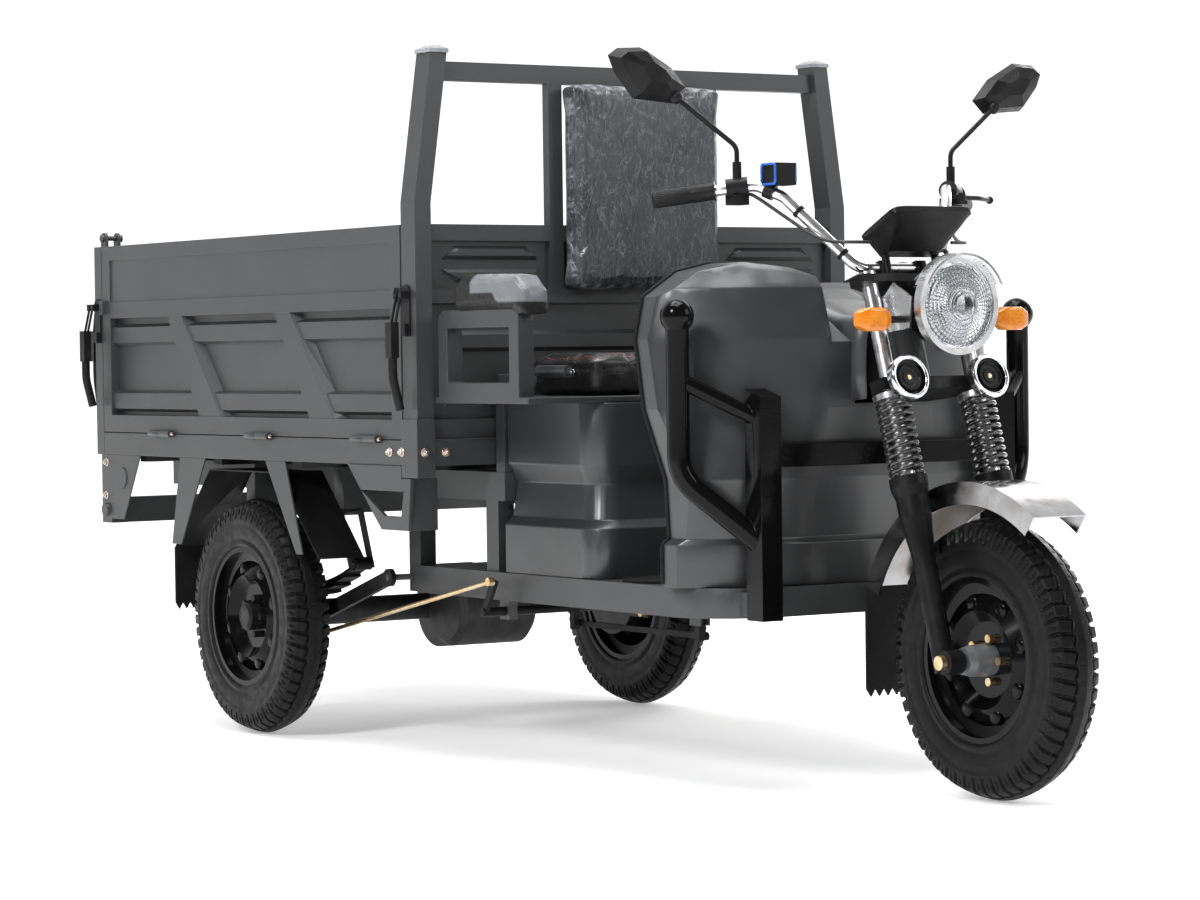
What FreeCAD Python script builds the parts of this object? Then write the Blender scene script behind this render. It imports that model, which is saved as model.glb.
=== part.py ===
"""Cargo tricycle: welded frame, tipping boards, leaf-sprung rear axle and telescopic front fork.

The model is laid out from the rear axle: X forwards, Y to the rider's left, Z up from the ground,
in millimetres. Each finished piece is then shifted so that the middle of the length lies at X = 0.
"""
import FreeCAD, Part
import math
import os
import Sketcher

doc = FreeCAD.newDocument("cargo_tricycle")
sheet = doc.addObject("Spreadsheet::Sheet", "sizes")


class Size:
    """A number together with the expression that ties it to the sheet."""

    def __init__(self, value, text):
        self.value = float(value)
        self.text = text

    def __add__(self, other):
        other = as_size(other)
        return Size(self.value + other.value, f"({self.text} + {other.text})")

    def __sub__(self, other):
        other = as_size(other)
        return Size(self.value - other.value, f"({self.text} - {other.text})")

    def __mul__(self, other):
        other = as_size(other)
        return Size(self.value * other.value, f"({self.text} * {other.text})")

    def __truediv__(self, other):
        other = as_size(other)
        return Size(self.value / other.value, f"({self.text} / {other.text})")

    def __neg__(self):
        return Size(-self.value, f"(0 - {self.text})")

    def __radd__(self, other):
        return as_size(other) + self

    def __rsub__(self, other):
        return as_size(other) - self

    def __rmul__(self, other):
        return as_size(other) * self

    def __rtruediv__(self, other):
        return as_size(other) / self

    def __float__(self):
        return self.value


def as_size(item):
    """A plain count or share becomes a Size, so that sums keep their expression."""
    return item if isinstance(item, Size) else Size(item, repr(item))


def cosd(angle):
    return Size(math.cos(math.radians(angle.value)), f"cos({angle.text})")


def sind(angle):
    return Size(math.sin(math.radians(angle.value)), f"sin({angle.text})")


def root(area):
    return Size(math.sqrt(area.value), f"sqrt({area.text})")


class Sheet:
    """The driving dimensions by name, as rows of the spreadsheet."""

    rows = 0


d = Sheet()


def define(values):
    """Write one group of driving dimensions into the sheet and keep them by name."""
    for name, value in values.items():
        Sheet.rows += 1
        sheet.set(f"A{Sheet.rows}", name)
        sheet.set(f"B{Sheet.rows}", str(value))
        sheet.setAlias(f"B{Sheet.rows}", name)
        setattr(d, name, Size(value, f"sizes.{name}"))


def from_front_axle(*names):
    """Places measured back from the front axle, kept as distances ahead of the rear axle."""
    for name in names:
        setattr(d, name, d.wheelbase - getattr(d, name.removesuffix("_x") + "_setback"))


def from_bed_front(*names):
    """Places measured ahead of the front of the bed, kept as distances ahead of the rear axle."""
    for name in names:
        setattr(d, name, d.bed_front + getattr(d, name.removesuffix("_x") + "_ahead"))


X_AXIS = FreeCAD.Vector(1, 0, 0)
Y_AXIS = FreeCAD.Vector(0, 1, 0)
Z_AXIS = FreeCAD.Vector(0, 0, 1)
ALONG = {"X": FreeCAD.Rotation(Y_AXIS, 90), "Y": FreeCAD.Rotation(X_AXIS, -90), "Z": FreeCAD.Rotation()}
nodes = []


def vec(point):
    return FreeCAD.Vector(*[float(c) for c in point])


def bind(obj, **sizes):
    for name, size in sizes.items():
        obj.setExpression(name, as_size(size).text)


def put(obj, at):
    """Bind a position, leaving the turn as it is."""
    for axis, size in zip("xyz", at):
        obj.setExpression(f"Placement.Base.{axis}", as_size(size).text)
    return obj


def block(x0, x1, y0, y1, z0, z1):
    """A box between two limits on each axis."""
    obj = doc.addObject("Part::Box", "block")
    bind(obj, Length=as_size(x1) - x0, Width=as_size(y1) - y0, Height=as_size(z1) - z0)
    return put(obj, (x0, y0, z0))


def cyl(axis, radius, at, length):
    """A round bar that starts at a point and runs along an axis."""
    obj = doc.addObject("Part::Cylinder", "bar")
    obj.Placement = FreeCAD.Placement(FreeCAD.Vector(), ALONG[axis])
    bind(obj, Radius=radius, Height=length)
    return put(obj, at)


def ball(radius, at):
    obj = doc.addObject("Part::Sphere", "ball")
    bind(obj, Radius=radius)
    return put(obj, at)


def fuse(*items):
    if len(items) == 1:
        return items[0]
    obj = doc.addObject("Part::MultiFuse", "weld")
    obj.Shapes = list(items)
    return obj


def cut(base, *tools):
    obj = doc.addObject("Part::Cut", "cut")
    obj.Base = base
    obj.Tool = fuse(*tools)
    return obj


def common(one, other):
    obj = doc.addObject("Part::Common", "common")
    obj.Base = one
    obj.Tool = other
    return obj


def group(*items):
    obj = doc.addObject("Part::Compound", "group")
    obj.Links = list(items)
    return obj


def mirrored(item):
    """The same piece on the other side of the vehicle."""
    obj = doc.addObject("Part::Mirroring", "mirrored")
    obj.Source = item
    obj.Normal = Y_AXIS
    return obj


def both(item):
    return group(item, mirrored(item))


def draw(sketch, points):
    """A closed outline; a third value at a point is the radius of the arc that arrives there,
    positive where the arc turns left."""
    count = len(points)
    ends = []
    for i in range(count):
        a = points[i]
        b = points[(i + 1) % count]
        start = FreeCAD.Vector(float(a[0]), float(a[1]), 0)
        stop = FreeCAD.Vector(float(b[0]), float(b[1]), 0)
        if len(b) == 2:
            sketch.addGeometry(Part.LineSegment(start, stop))
            ends.append((1, 2))
            continue
        radius = float(b[2])
        chord = stop - start
        side = FreeCAD.Vector(-chord.y, chord.x, 0).normalize() * math.copysign(1, radius)
        depth = math.sqrt(max(radius ** 2 - chord.Length ** 2 / 4, 0))
        middle = (start + stop) / 2 + side * (depth - abs(radius))
        sketch.addGeometry(Part.Arc(start, middle, stop))
        ends.append((1, 2) if radius > 0 else (2, 1))
    for i in range(count):
        after = (i + 1) % count
        sketch.addConstraint(Sketcher.Constraint("Coincident", i, ends[i][1], after, ends[after][0]))
    for i, point in enumerate(points):
        for axis, size in zip("XY", point):
            size = as_size(size)
            place = Sketcher.Constraint("Distance" + axis, -1, 1, i, ends[i][0], size.value)
            sketch.renameConstraint(sketch.addConstraint(place), f"at{i}{axis}")
            sketch.setExpression(f"Constraints.at{i}{axis}", size.text)
        arriving = points[(i + 1) % count]
        if len(arriving) == 3:
            radius = as_size(arriving[2])
            bend = Sketcher.Constraint("Radius", i, abs(radius.value))
            sketch.renameConstraint(sketch.addConstraint(bend), f"bend{i}")
            sketch.setExpression(f"Constraints.bend{i}", f"abs({radius.text})")


def sketch_in(body, plane, points):
    origin = [f for f in body.Origin.OriginFeatures if f.Role == f"{plane}_Plane"][0]
    sketch = body.newObject("Sketcher::SketchObject", "outline")
    sketch.AttachmentSupport = [(origin, "")]
    sketch.MapMode = "FlatFace"
    draw(sketch, points)
    return sketch


def plate(plane, points, thick, at):
    """An outline on a plane, padded evenly to both sides of it."""
    body = doc.addObject("PartDesign::Body", "plate")
    sketch = sketch_in(body, plane, points)
    pad = body.newObject("PartDesign::Pad", "pad")
    pad.Profile = sketch
    pad.SideType = "Symmetric"
    bind(pad, Length=thick)
    return put(body, at)


def turned(axis, points, at):
    """A profile of (along, radius) points, revolved about an axis through a point."""
    body = doc.addObject("PartDesign::Body", "turned")
    if axis == "Z":
        sketch = sketch_in(body, "XZ", [(p[1], p[0], *p[2:]) for p in points])
    else:
        sketch = sketch_in(body, {"X": "XZ", "Y": "YZ"}[axis], points)
    spin = body.newObject("PartDesign::Revolution", "spin")
    spin.Profile = sketch
    spin.ReferenceAxis = (sketch, ["V_Axis" if axis == "Z" else "H_Axis"])
    return put(body, at)


def shape(form):
    """A piece whose form comes from curves worked out here."""
    obj = doc.addObject("Part::Feature", "form")
    obj.Shape = form
    return obj


def bent_path(points, radius):
    """Straight runs joined by tangent arcs."""
    points = [vec(p) for p in points]
    edges = []
    last = points[0]
    for before, corner, after in zip(points, points[1:], points[2:]):
        back = (before - corner).normalize()
        ahead = (after - corner).normalize()
        half = back.getAngle(ahead) / 2
        reach = radius / math.tan(half)
        start = corner + back * reach
        stop = corner + ahead * reach
        middle = corner + (back + ahead).normalize() * (radius / math.sin(half) - radius)
        edges.append(Part.LineSegment(last, start).toShape())
        edges.append(Part.Arc(start, middle, stop).toShape())
        last = stop
    edges.append(Part.LineSegment(last, points[-1]).toShape())
    return Part.Wire(edges)


def pipe(points, radius, bend):
    """A round tube or bar along a bent path."""
    path = bent_path(points, float(bend))
    first = path.Edges[0]
    ring = Part.Circle(first.valueAt(first.FirstParameter), first.tangentAt(first.FirstParameter),
                       float(radius))
    return shape(path.makePipeShell([Part.Wire(ring.toShape())], True, False))


def polygon(points):
    points = [vec(p) for p in points]
    return Part.makePolygon(points + points[:1])


def loft(wires, ruled=True):
    return shape(Part.makeLoft(wires, True, ruled))


def node(name, *items):
    """A finished piece in the vehicle's frame."""
    obj = group(*items)
    obj.Label = name
    put(obj, (-mid_length, 0, 0))
    nodes.append(obj)
    return obj


def steered_node(name, *items):
    """A finished piece drawn upright on the steering axis and laid back by the rake."""
    obj = group(*items)
    obj.Label = name
    obj.Placement = FreeCAD.Placement(FreeCAD.Vector(), FreeCAD.Rotation(-Y_AXIS, d.rake_angle.value))
    obj.setExpression("Placement.Rotation.Angle", d.rake_angle.text)
    put(obj, (d.head_x - mid_length, 0, d.head_z))
    nodes.append(obj)
    return obj


# Main dimensions of the vehicle
main_sizes = {
    "wheelbase": 2040, "rear_track": 1050, "tyre_radius": 273, "tyre_width": 100,
    "head_setback": 220, "head_z": 768, "rake_angle": 17,
    "bed_rear": 742, "bed_front": 752, "bed_half": 570, "bed_bottom": 637, "bed_top": 692,
    "board_top": 1154, "post_wide": 40, "play": 0.3, "running_play": 0.05, "panel_gap": 2, "overrun": 5,
    "latch_bow": 34, "latch_body_deep": 13,
}
define(main_sizes)
from_front_axle("head_x")
rear_face = -d.bed_rear - d.post_wide
mid_length = (d.wheelbase + d.tyre_radius + rear_face - d.latch_bow - d.latch_body_deep) / 2
rear_wheel_y = d.rear_track / 2
axle_z = d.tyre_radius

# Axle position in the steering frame, whose Z runs up the steering axis
axle_fore = (d.wheelbase - d.head_x) * cosd(d.rake_angle) + (axle_z - d.head_z) * sind(d.rake_angle)
axle_drop = (axle_z - d.head_z) * cosd(d.rake_angle) - (d.wheelbase - d.head_x) * sind(d.rake_angle)

# Tyres and pressed steel wheels
wheel_sizes = {
    "bead_radius": 154, "bead_half": 40, "casing": 13, "sidewall_radius": 214, "shoulder_radius": 256,
    "tread_half": 43, "crown_arc": 150, "sidewall_arc": 70, "tread_groove": 7, "tread_groove_half": 3,
    "notch_count": 36, "notch_wide": 9, "notch_deep": 9, "notch_span": 24,
    "rim_half": 46, "rim_flange": 175, "rim_wall": 4, "rim_well": 132, "disc_hub": 34, "disc_set": 14,
    "disc_ring": 96, "disc_dish": 22, "nut_circle": 44, "nut_radius": 8, "nut_long": 14,
    "wheel_nut_count": 5,
}
define(wheel_sizes)


def tyre_form():
    """Casing open to the rim, with a grooved crown and a ring of shoulder notches."""
    half = d.tyre_width / 2
    inner = d.bead_half - d.casing
    groove = d.tread_groove_half
    body = turned("Y", [
        (-d.bead_half, d.bead_radius), (-d.bead_half, d.rim_flange), (-half, d.sidewall_radius,
                                        -d.sidewall_arc),
        (-d.tread_half, d.shoulder_radius, -d.sidewall_arc),
        (-groove, d.tyre_radius, -d.crown_arc), (-groove, d.tyre_radius - d.tread_groove),
        (groove, d.tyre_radius - d.tread_groove), (groove, d.tyre_radius),
        (d.tread_half, d.shoulder_radius, -d.crown_arc), (half, d.sidewall_radius, -d.sidewall_arc),
        (d.bead_half, d.rim_flange, -d.sidewall_arc), (d.bead_half, d.bead_radius), (inner, d.bead_radius),
        (half - d.casing, d.sidewall_radius), (d.tread_half - d.casing, d.shoulder_radius - d.casing),
        (d.casing - d.tread_half, d.shoulder_radius - d.casing), (d.casing - half, d.sidewall_radius),
        (-inner, d.bead_radius)], (0, 0, 0))
    notches = []
    for side in (-1, 1):
        slot = sketch_in(body, "YZ", [
            (side * (d.tread_half - d.notch_span / 2), d.tyre_radius),
            (side * (half + d.notch_span / 2), d.tyre_radius),
            (side * (half + d.notch_span / 2), d.shoulder_radius - d.notch_span),
            (side * (half - d.notch_deep / 2), d.shoulder_radius - d.notch_span),
            (side * (d.tread_half - d.notch_span / 2), d.tyre_radius - d.notch_deep)])
        pocket = body.newObject("PartDesign::Pocket", "notch")
        pocket.Profile = slot
        pocket.SideType = "Symmetric"
        bind(pocket, Length=d.notch_wide)
        notches.append(pocket)
    doc.recompute()
    ring = body.newObject("PartDesign::PolarPattern", "notches")
    ring.Originals = notches
    ring.Axis = (notches[0].Profile[0], ["H_Axis"])
    ring.Angle = 360
    bind(ring, Occurrences=d.notch_count)
    body.Tip = ring
    return body


def rim_form(outer):
    """Drop-centre rim and dished disc in one pressing; outer is the side that the dish faces."""
    flange = d.rim_flange
    seat = d.bead_radius - d.play
    barrel = turned("Y", [
        (-d.rim_half, flange), (-d.bead_half - d.play, flange), (-d.bead_half - d.play, seat),
        (-d.bead_half + d.casing, seat), (-d.disc_dish, d.rim_well), (d.disc_dish, d.rim_well),
        (d.bead_half - d.casing, seat), (d.bead_half + d.play, seat), (d.bead_half + d.play, flange),
        (d.rim_half, flange), (d.rim_half, seat - d.rim_wall),
        (d.bead_half - d.casing, seat - d.rim_wall), (d.disc_dish, d.rim_well - d.rim_wall),
        (-d.disc_dish, d.rim_well - d.rim_wall), (d.casing - d.bead_half, seat - d.rim_wall),
        (-d.rim_half, seat - d.rim_wall)], (0, 0, 0))
    disc = turned("Y", [
        (outer * d.disc_set, d.disc_hub), (outer * d.disc_set, d.disc_ring - d.disc_dish),
        (outer * (d.disc_set + d.disc_dish), d.disc_ring),
        (outer * d.disc_set, d.rim_well - d.rim_wall / 2),
        (outer * (d.disc_set - d.rim_wall), d.rim_well - d.rim_wall / 2),
        (outer * (d.disc_set + d.disc_dish - d.rim_wall), d.disc_ring),
        (outer * (d.disc_set - d.rim_wall), d.disc_ring - d.disc_dish),
        (outer * (d.disc_set - d.rim_wall), d.disc_hub)], (0, 0, 0))
    return fuse(barrel, disc)


def nut_ring(face, outward):
    """Wheel nuts on a circle, standing off a face."""
    nuts = []
    for i in range(int(d.wheel_nut_count.value)):
        turn = 360 / d.wheel_nut_count * i
        start = face if outward > 0 else face - d.nut_long
        nuts.append(cyl("Y", d.nut_radius, (d.nut_circle * cosd(turn), start, d.nut_circle * sind(turn)),
                        d.nut_long))
    return nuts


def placed(form, at):
    return put(group(form), at)


tyre = tyre_form()

# Rear axle, hubs and brakes
axle_sizes = {
    "drum_radius": 92, "drum_wide": 52, "hub_radius": 33, "hub_out": 30, "hub_cap": 24, "axle_tube": 31,
    "plate_radius": 96, "plate_thick": 5, "gear_radius": 100, "gear_half": 48, "motor_radius": 88,
    "motor_fore": 128, "motor_half": 105, "motor_cover": 14, "cam_arm_x": 154, "cam_arm_z": 238,
    "cam_arm_wide": 12, "cam_arm_in": 448, "shaft_radius": 14, "pad_long": 96, "pad_wide": 56,
    "pad_high": 10,
}
define(axle_sizes)
drum_in = rear_wheel_y - d.disc_set - d.rim_wall - d.drum_wide


def rear_wheel(name, side):
    """Brake drum with its hub and nuts, behind the wheel disc, all turning together."""
    centre = (0, side * rear_wheel_y, axle_z)
    disc_face = side * d.disc_set
    hub = turned("Y", [
        (side * (-d.disc_set - d.rim_wall - d.drum_wide), d.drum_radius - d.plate_thick),
        (side * (-d.disc_set - d.rim_wall - d.drum_wide), d.drum_radius),
        (side * (d.disc_set - d.rim_wall - d.plate_thick), d.drum_radius),
        (side * (d.disc_set - d.rim_wall), d.drum_radius - d.plate_thick),
        (side * (d.disc_set - d.rim_wall), d.disc_hub - d.play),
        (side * (d.disc_set + d.hub_out - d.plate_thick), d.hub_radius),
        (side * (d.disc_set + d.hub_out), d.hub_cap),
        (side * (d.disc_set + d.hub_out), d.shaft_radius + d.play),
        (side * (d.disc_set - d.rim_wall - 2 * d.plate_thick), d.shaft_radius + d.play),
        (side * (d.disc_set - d.rim_wall - 2 * d.plate_thick), d.drum_radius - d.plate_thick)], (0, 0, 0))
    nuts = nut_ring(disc_face, side)
    node(f"rear_{name}_tyre", placed(tyre, centre))
    node(f"rear_{name}_rim", placed(rim_form(side), centre))
    node(f"rear_{name}_hub", placed(group(hub, *nuts), centre))


rear_wheel("right", -1)
rear_wheel("left", 1)


def axle_housing():
    """Tube axle with brake backing plates, half shafts, gear case and the finned motor before it."""
    inner = drum_in - d.play - d.plate_thick
    tube = cyl("Y", d.axle_tube, (0, -inner, axle_z), 2 * inner)
    shaft_end = rear_wheel_y + d.disc_set + d.hub_out
    shaft = cyl("Y", d.shaft_radius, (0, -shaft_end, axle_z), 2 * shaft_end)
    plates = [cyl("Y", d.plate_radius, (0, y, axle_z), d.plate_thick) for y in (-inner - d.plate_thick,
                                        inner)]
    case = plate("XZ", [
        (-d.gear_radius, axle_z, -d.gear_radius), (0, axle_z + d.gear_radius, -d.gear_radius),
        (d.motor_fore, axle_z + d.motor_radius), (d.motor_fore, axle_z - d.motor_radius),
        (0, axle_z - d.gear_radius)], 2 * d.gear_half, (0, 0, 0))
    motor = turned("Y", [
        (-d.motor_half, 0), (-d.motor_half, d.motor_radius - d.motor_cover),
        (d.motor_cover - d.motor_half, d.motor_radius), (d.motor_half - d.motor_cover, d.motor_radius),
        (d.motor_half, d.motor_radius - d.motor_cover), (d.motor_half, 0)], (d.motor_fore, 0, axle_z))
    seats = []
    for side in (-1, 1):
        middle = side * d.spring_y
        seats.append(block(-d.pad_long / 2, d.pad_long / 2, middle - d.pad_wide / 2, middle + d.pad_wide / 2,
                           axle_z + d.axle_tube - d.pad_high, axle_z + d.axle_tube + d.pad_high))
        ear = middle + side * d.pad_wide / 2
        ear_in = ear - side * d.plate_thick
        seats.append(block(d.axle_tube / 2, d.rod_rear + d.rod_eye, min(ear, ear_in, key=float),
                           max(ear, ear_in, key=float), axle_z - d.rod_eye, axle_z + d.rod_eye))
        arm_in = side * d.cam_arm_in
        arm_out = side * (inner + d.plate_thick)
        seats.append(block(0, d.cam_arm_x + d.cam_arm_wide, min(arm_in, arm_out, key=float),
                           max(arm_in, arm_out, key=float), d.cam_arm_z - d.cam_arm_wide,
                           d.cam_arm_z + d.cam_arm_wide))
    return fuse(tube, shaft, *plates, case, motor, *seats)


# Leaf springs, shackles and radius rods
spring_sizes = {
    "spring_y": 405, "leaf_wide": 45, "leaf_thick": 7, "leaf_count": 4, "eye_reach": 270, "eye_z": 400,
    "eye_radius": 15, "leaf_step": 46, "shackle_top": 516, "shackle_lean": 52, "shackle_wide": 20,
    "shackle_thick": 6, "pin_radius": 7, "clip_lift": 1, "clip_radius": 5,
    "rod_rear": 118, "rod_fore": 458, "rod_fore_z": 378, "rod_eye": 20, "rod_wide": 34, "rod_thick": 12,
}
define(spring_sizes)


def leaf_pack(y):
    """Stacked leaves, each shorter than the one above, on one common curve, with rolled eyes."""
    base = axle_z + d.axle_tube + d.pad_high
    top = base + d.leaf_count * d.leaf_thick
    rise = d.eye_z - top
    bow = (d.eye_reach * d.eye_reach + rise * rise) / (2 * rise)
    leaves = []
    for i in range(int(d.leaf_count.value)):
        outer = bow + i * d.leaf_thick
        reach = d.eye_reach - i * d.leaf_step
        low = outer + d.leaf_thick
        crest = top + bow
        z_in = crest - root(outer * outer - reach * reach)
        z_out = crest - root(low * low - reach * reach)
        leaves.append(plate("XZ", [(-reach, z_out), (reach, z_out, low), (reach, z_in), (-reach, z_in,
                                        -outer)],
                            d.leaf_wide, (0, y, 0)))
    eyes = [cyl("Y", d.eye_radius, (x, y - d.leaf_wide / 2, d.eye_z), d.leaf_wide)
            for x in (-d.eye_reach, d.eye_reach)]
    bores = [cyl("Y", d.pin_radius + d.play, (x, y - d.leaf_wide, d.eye_z), 2 * d.leaf_wide)
             for x in (-d.eye_reach, d.eye_reach)]
    return cut(fuse(*leaves, *eyes), *bores)


def spring_clips(y):
    """U-bolts that clamp the leaves to the axle."""
    top = axle_z + d.axle_tube + d.pad_high + d.leaf_count * d.leaf_thick + d.clip_lift
    wide = d.leaf_wide / 2 + d.clip_radius + d.play
    clips = []
    for x in (-d.pad_long / 4, d.pad_long / 4):
        bar = block(x - d.clip_radius, x + d.clip_radius, y - wide - d.clip_radius, y + wide + d.clip_radius,
                    top, top + 2 * d.clip_radius)
        legs = [cyl("Z", d.clip_radius, (x, y + s * wide, axle_z + d.axle_tube + d.pad_high),
                    top - axle_z - d.axle_tube - d.pad_high + d.clip_radius) for s in (-1, 1)]
        clips.append(fuse(bar, *legs))
    return clips


def shackle_set(y):
    """Pairs of links that hang each spring eye from the frame, with their pins."""
    links = []
    for end in (-1, 1):
        low = end * d.eye_reach
        high = end * (d.eye_reach - d.shackle_lean)
        for s in (-1, 1):
            side = y + s * (d.leaf_wide / 2 + d.play + d.shackle_thick / 2)
            half = d.shackle_wide / 2
            links.append(plate("XZ", [(low - half, d.eye_z - half), (low + half, d.eye_z - half),
                                      (high + half, d.shackle_top + half), (high - half,
                                        d.shackle_top + half)],
                               d.shackle_thick, (0, side, 0)))
        span = d.leaf_wide + 2 * (d.play + d.shackle_thick)
        for x, z in ((low, d.eye_z), (high, d.shackle_top)):
            links.append(cyl("Y", d.pin_radius, (x, y - span / 2, z), span))
    return fuse(*links)


def radius_rod():
    """Forged bar from the axle forwards to the frame, with an eye at each end."""
    y = -d.spring_y - d.pad_wide / 2 - d.play - d.rod_thick / 2
    half = d.rod_wide / 2
    bar = plate("XZ", [(d.rod_rear, axle_z - half), (d.rod_fore, d.rod_fore_z - half),
                       (d.rod_fore, d.rod_fore_z + half), (d.rod_rear, axle_z + half)], d.rod_thick, (0, y,
                                        0))
    eyes = [cyl("Y", d.rod_eye, (x, y - d.rod_thick / 2, z), d.rod_thick)
            for x, z in ((d.rod_rear, axle_z), (d.rod_fore, d.rod_fore_z))]
    bore = cyl("Y", d.pin_radius + d.running_play, (d.rod_fore, y - d.rod_thick, d.rod_fore_z),
               2 * d.rod_thick)
    return cut(fuse(bar, *eyes), bore)


# Chassis: floor frame, kick-up posts, upper beams, steering neck
chassis_sizes = {
    "beam_y": 360, "beam_wide": 40, "beam_low": 558, "beam_high": 620, "beam_front_ahead": 108,
    "post_a": 470, "post_long": 50, "post_b_ahead": 54, "floor_low": 345, "floor_high": 405,
    "floor_half": 390,
    "floor_front_setback": 380, "floor_corner": 150, "rail_wide": 42, "sheet": 3, "cross_wide": 40,
    "upright_setback": 450, "upright_y": 90, "upright_wide": 40, "upright_top": 905, "neck_low": 800,
    "neck_high": 940,
    "neck_half": 24, "head_radius": 29, "stem_radius": 13, "head_low": 40, "head_high": 224,
    "slot_setback": 680, "slot_y": 200, "slot_long": 90, "slot_half": 20,
    "ear_wide": 44, "guard_setback": 373, "guard_y": 295, "guard_wide": 50, "guard_seat_long": 70,
    "guard_seat_low": 352, "guard_seat_high": 398, "shaft_ahead": 98, "shaft_z": 321, "cross_radius": 10,
    "bearing_half": 20, "bearing_low": 303, "pedal_setback": 710, "pedal_z": 325, "pedal_pin": 6,
    "pedal_half": 8, "cheek_wide": 4, "cheek_long": 40, "cheek_low": 308,
}
define(chassis_sizes)
from_front_axle("floor_front", "upright_x", "slot_x", "guard_x", "pedal_x")
from_bed_front("beam_front", "post_b", "shaft_x")


def floor_outline(inset):
    """Plan of the floor frame: straight sides with large round front corners."""
    half = d.floor_half - inset
    front = d.floor_front - inset
    corner = d.floor_corner - inset
    rear = d.post_a + d.post_long / 2 + inset
    return [(rear, -half), (front - corner, -half), (front, corner - half, corner), (front, half - corner),
            (front - corner, half, corner), (rear, half)]


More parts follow.
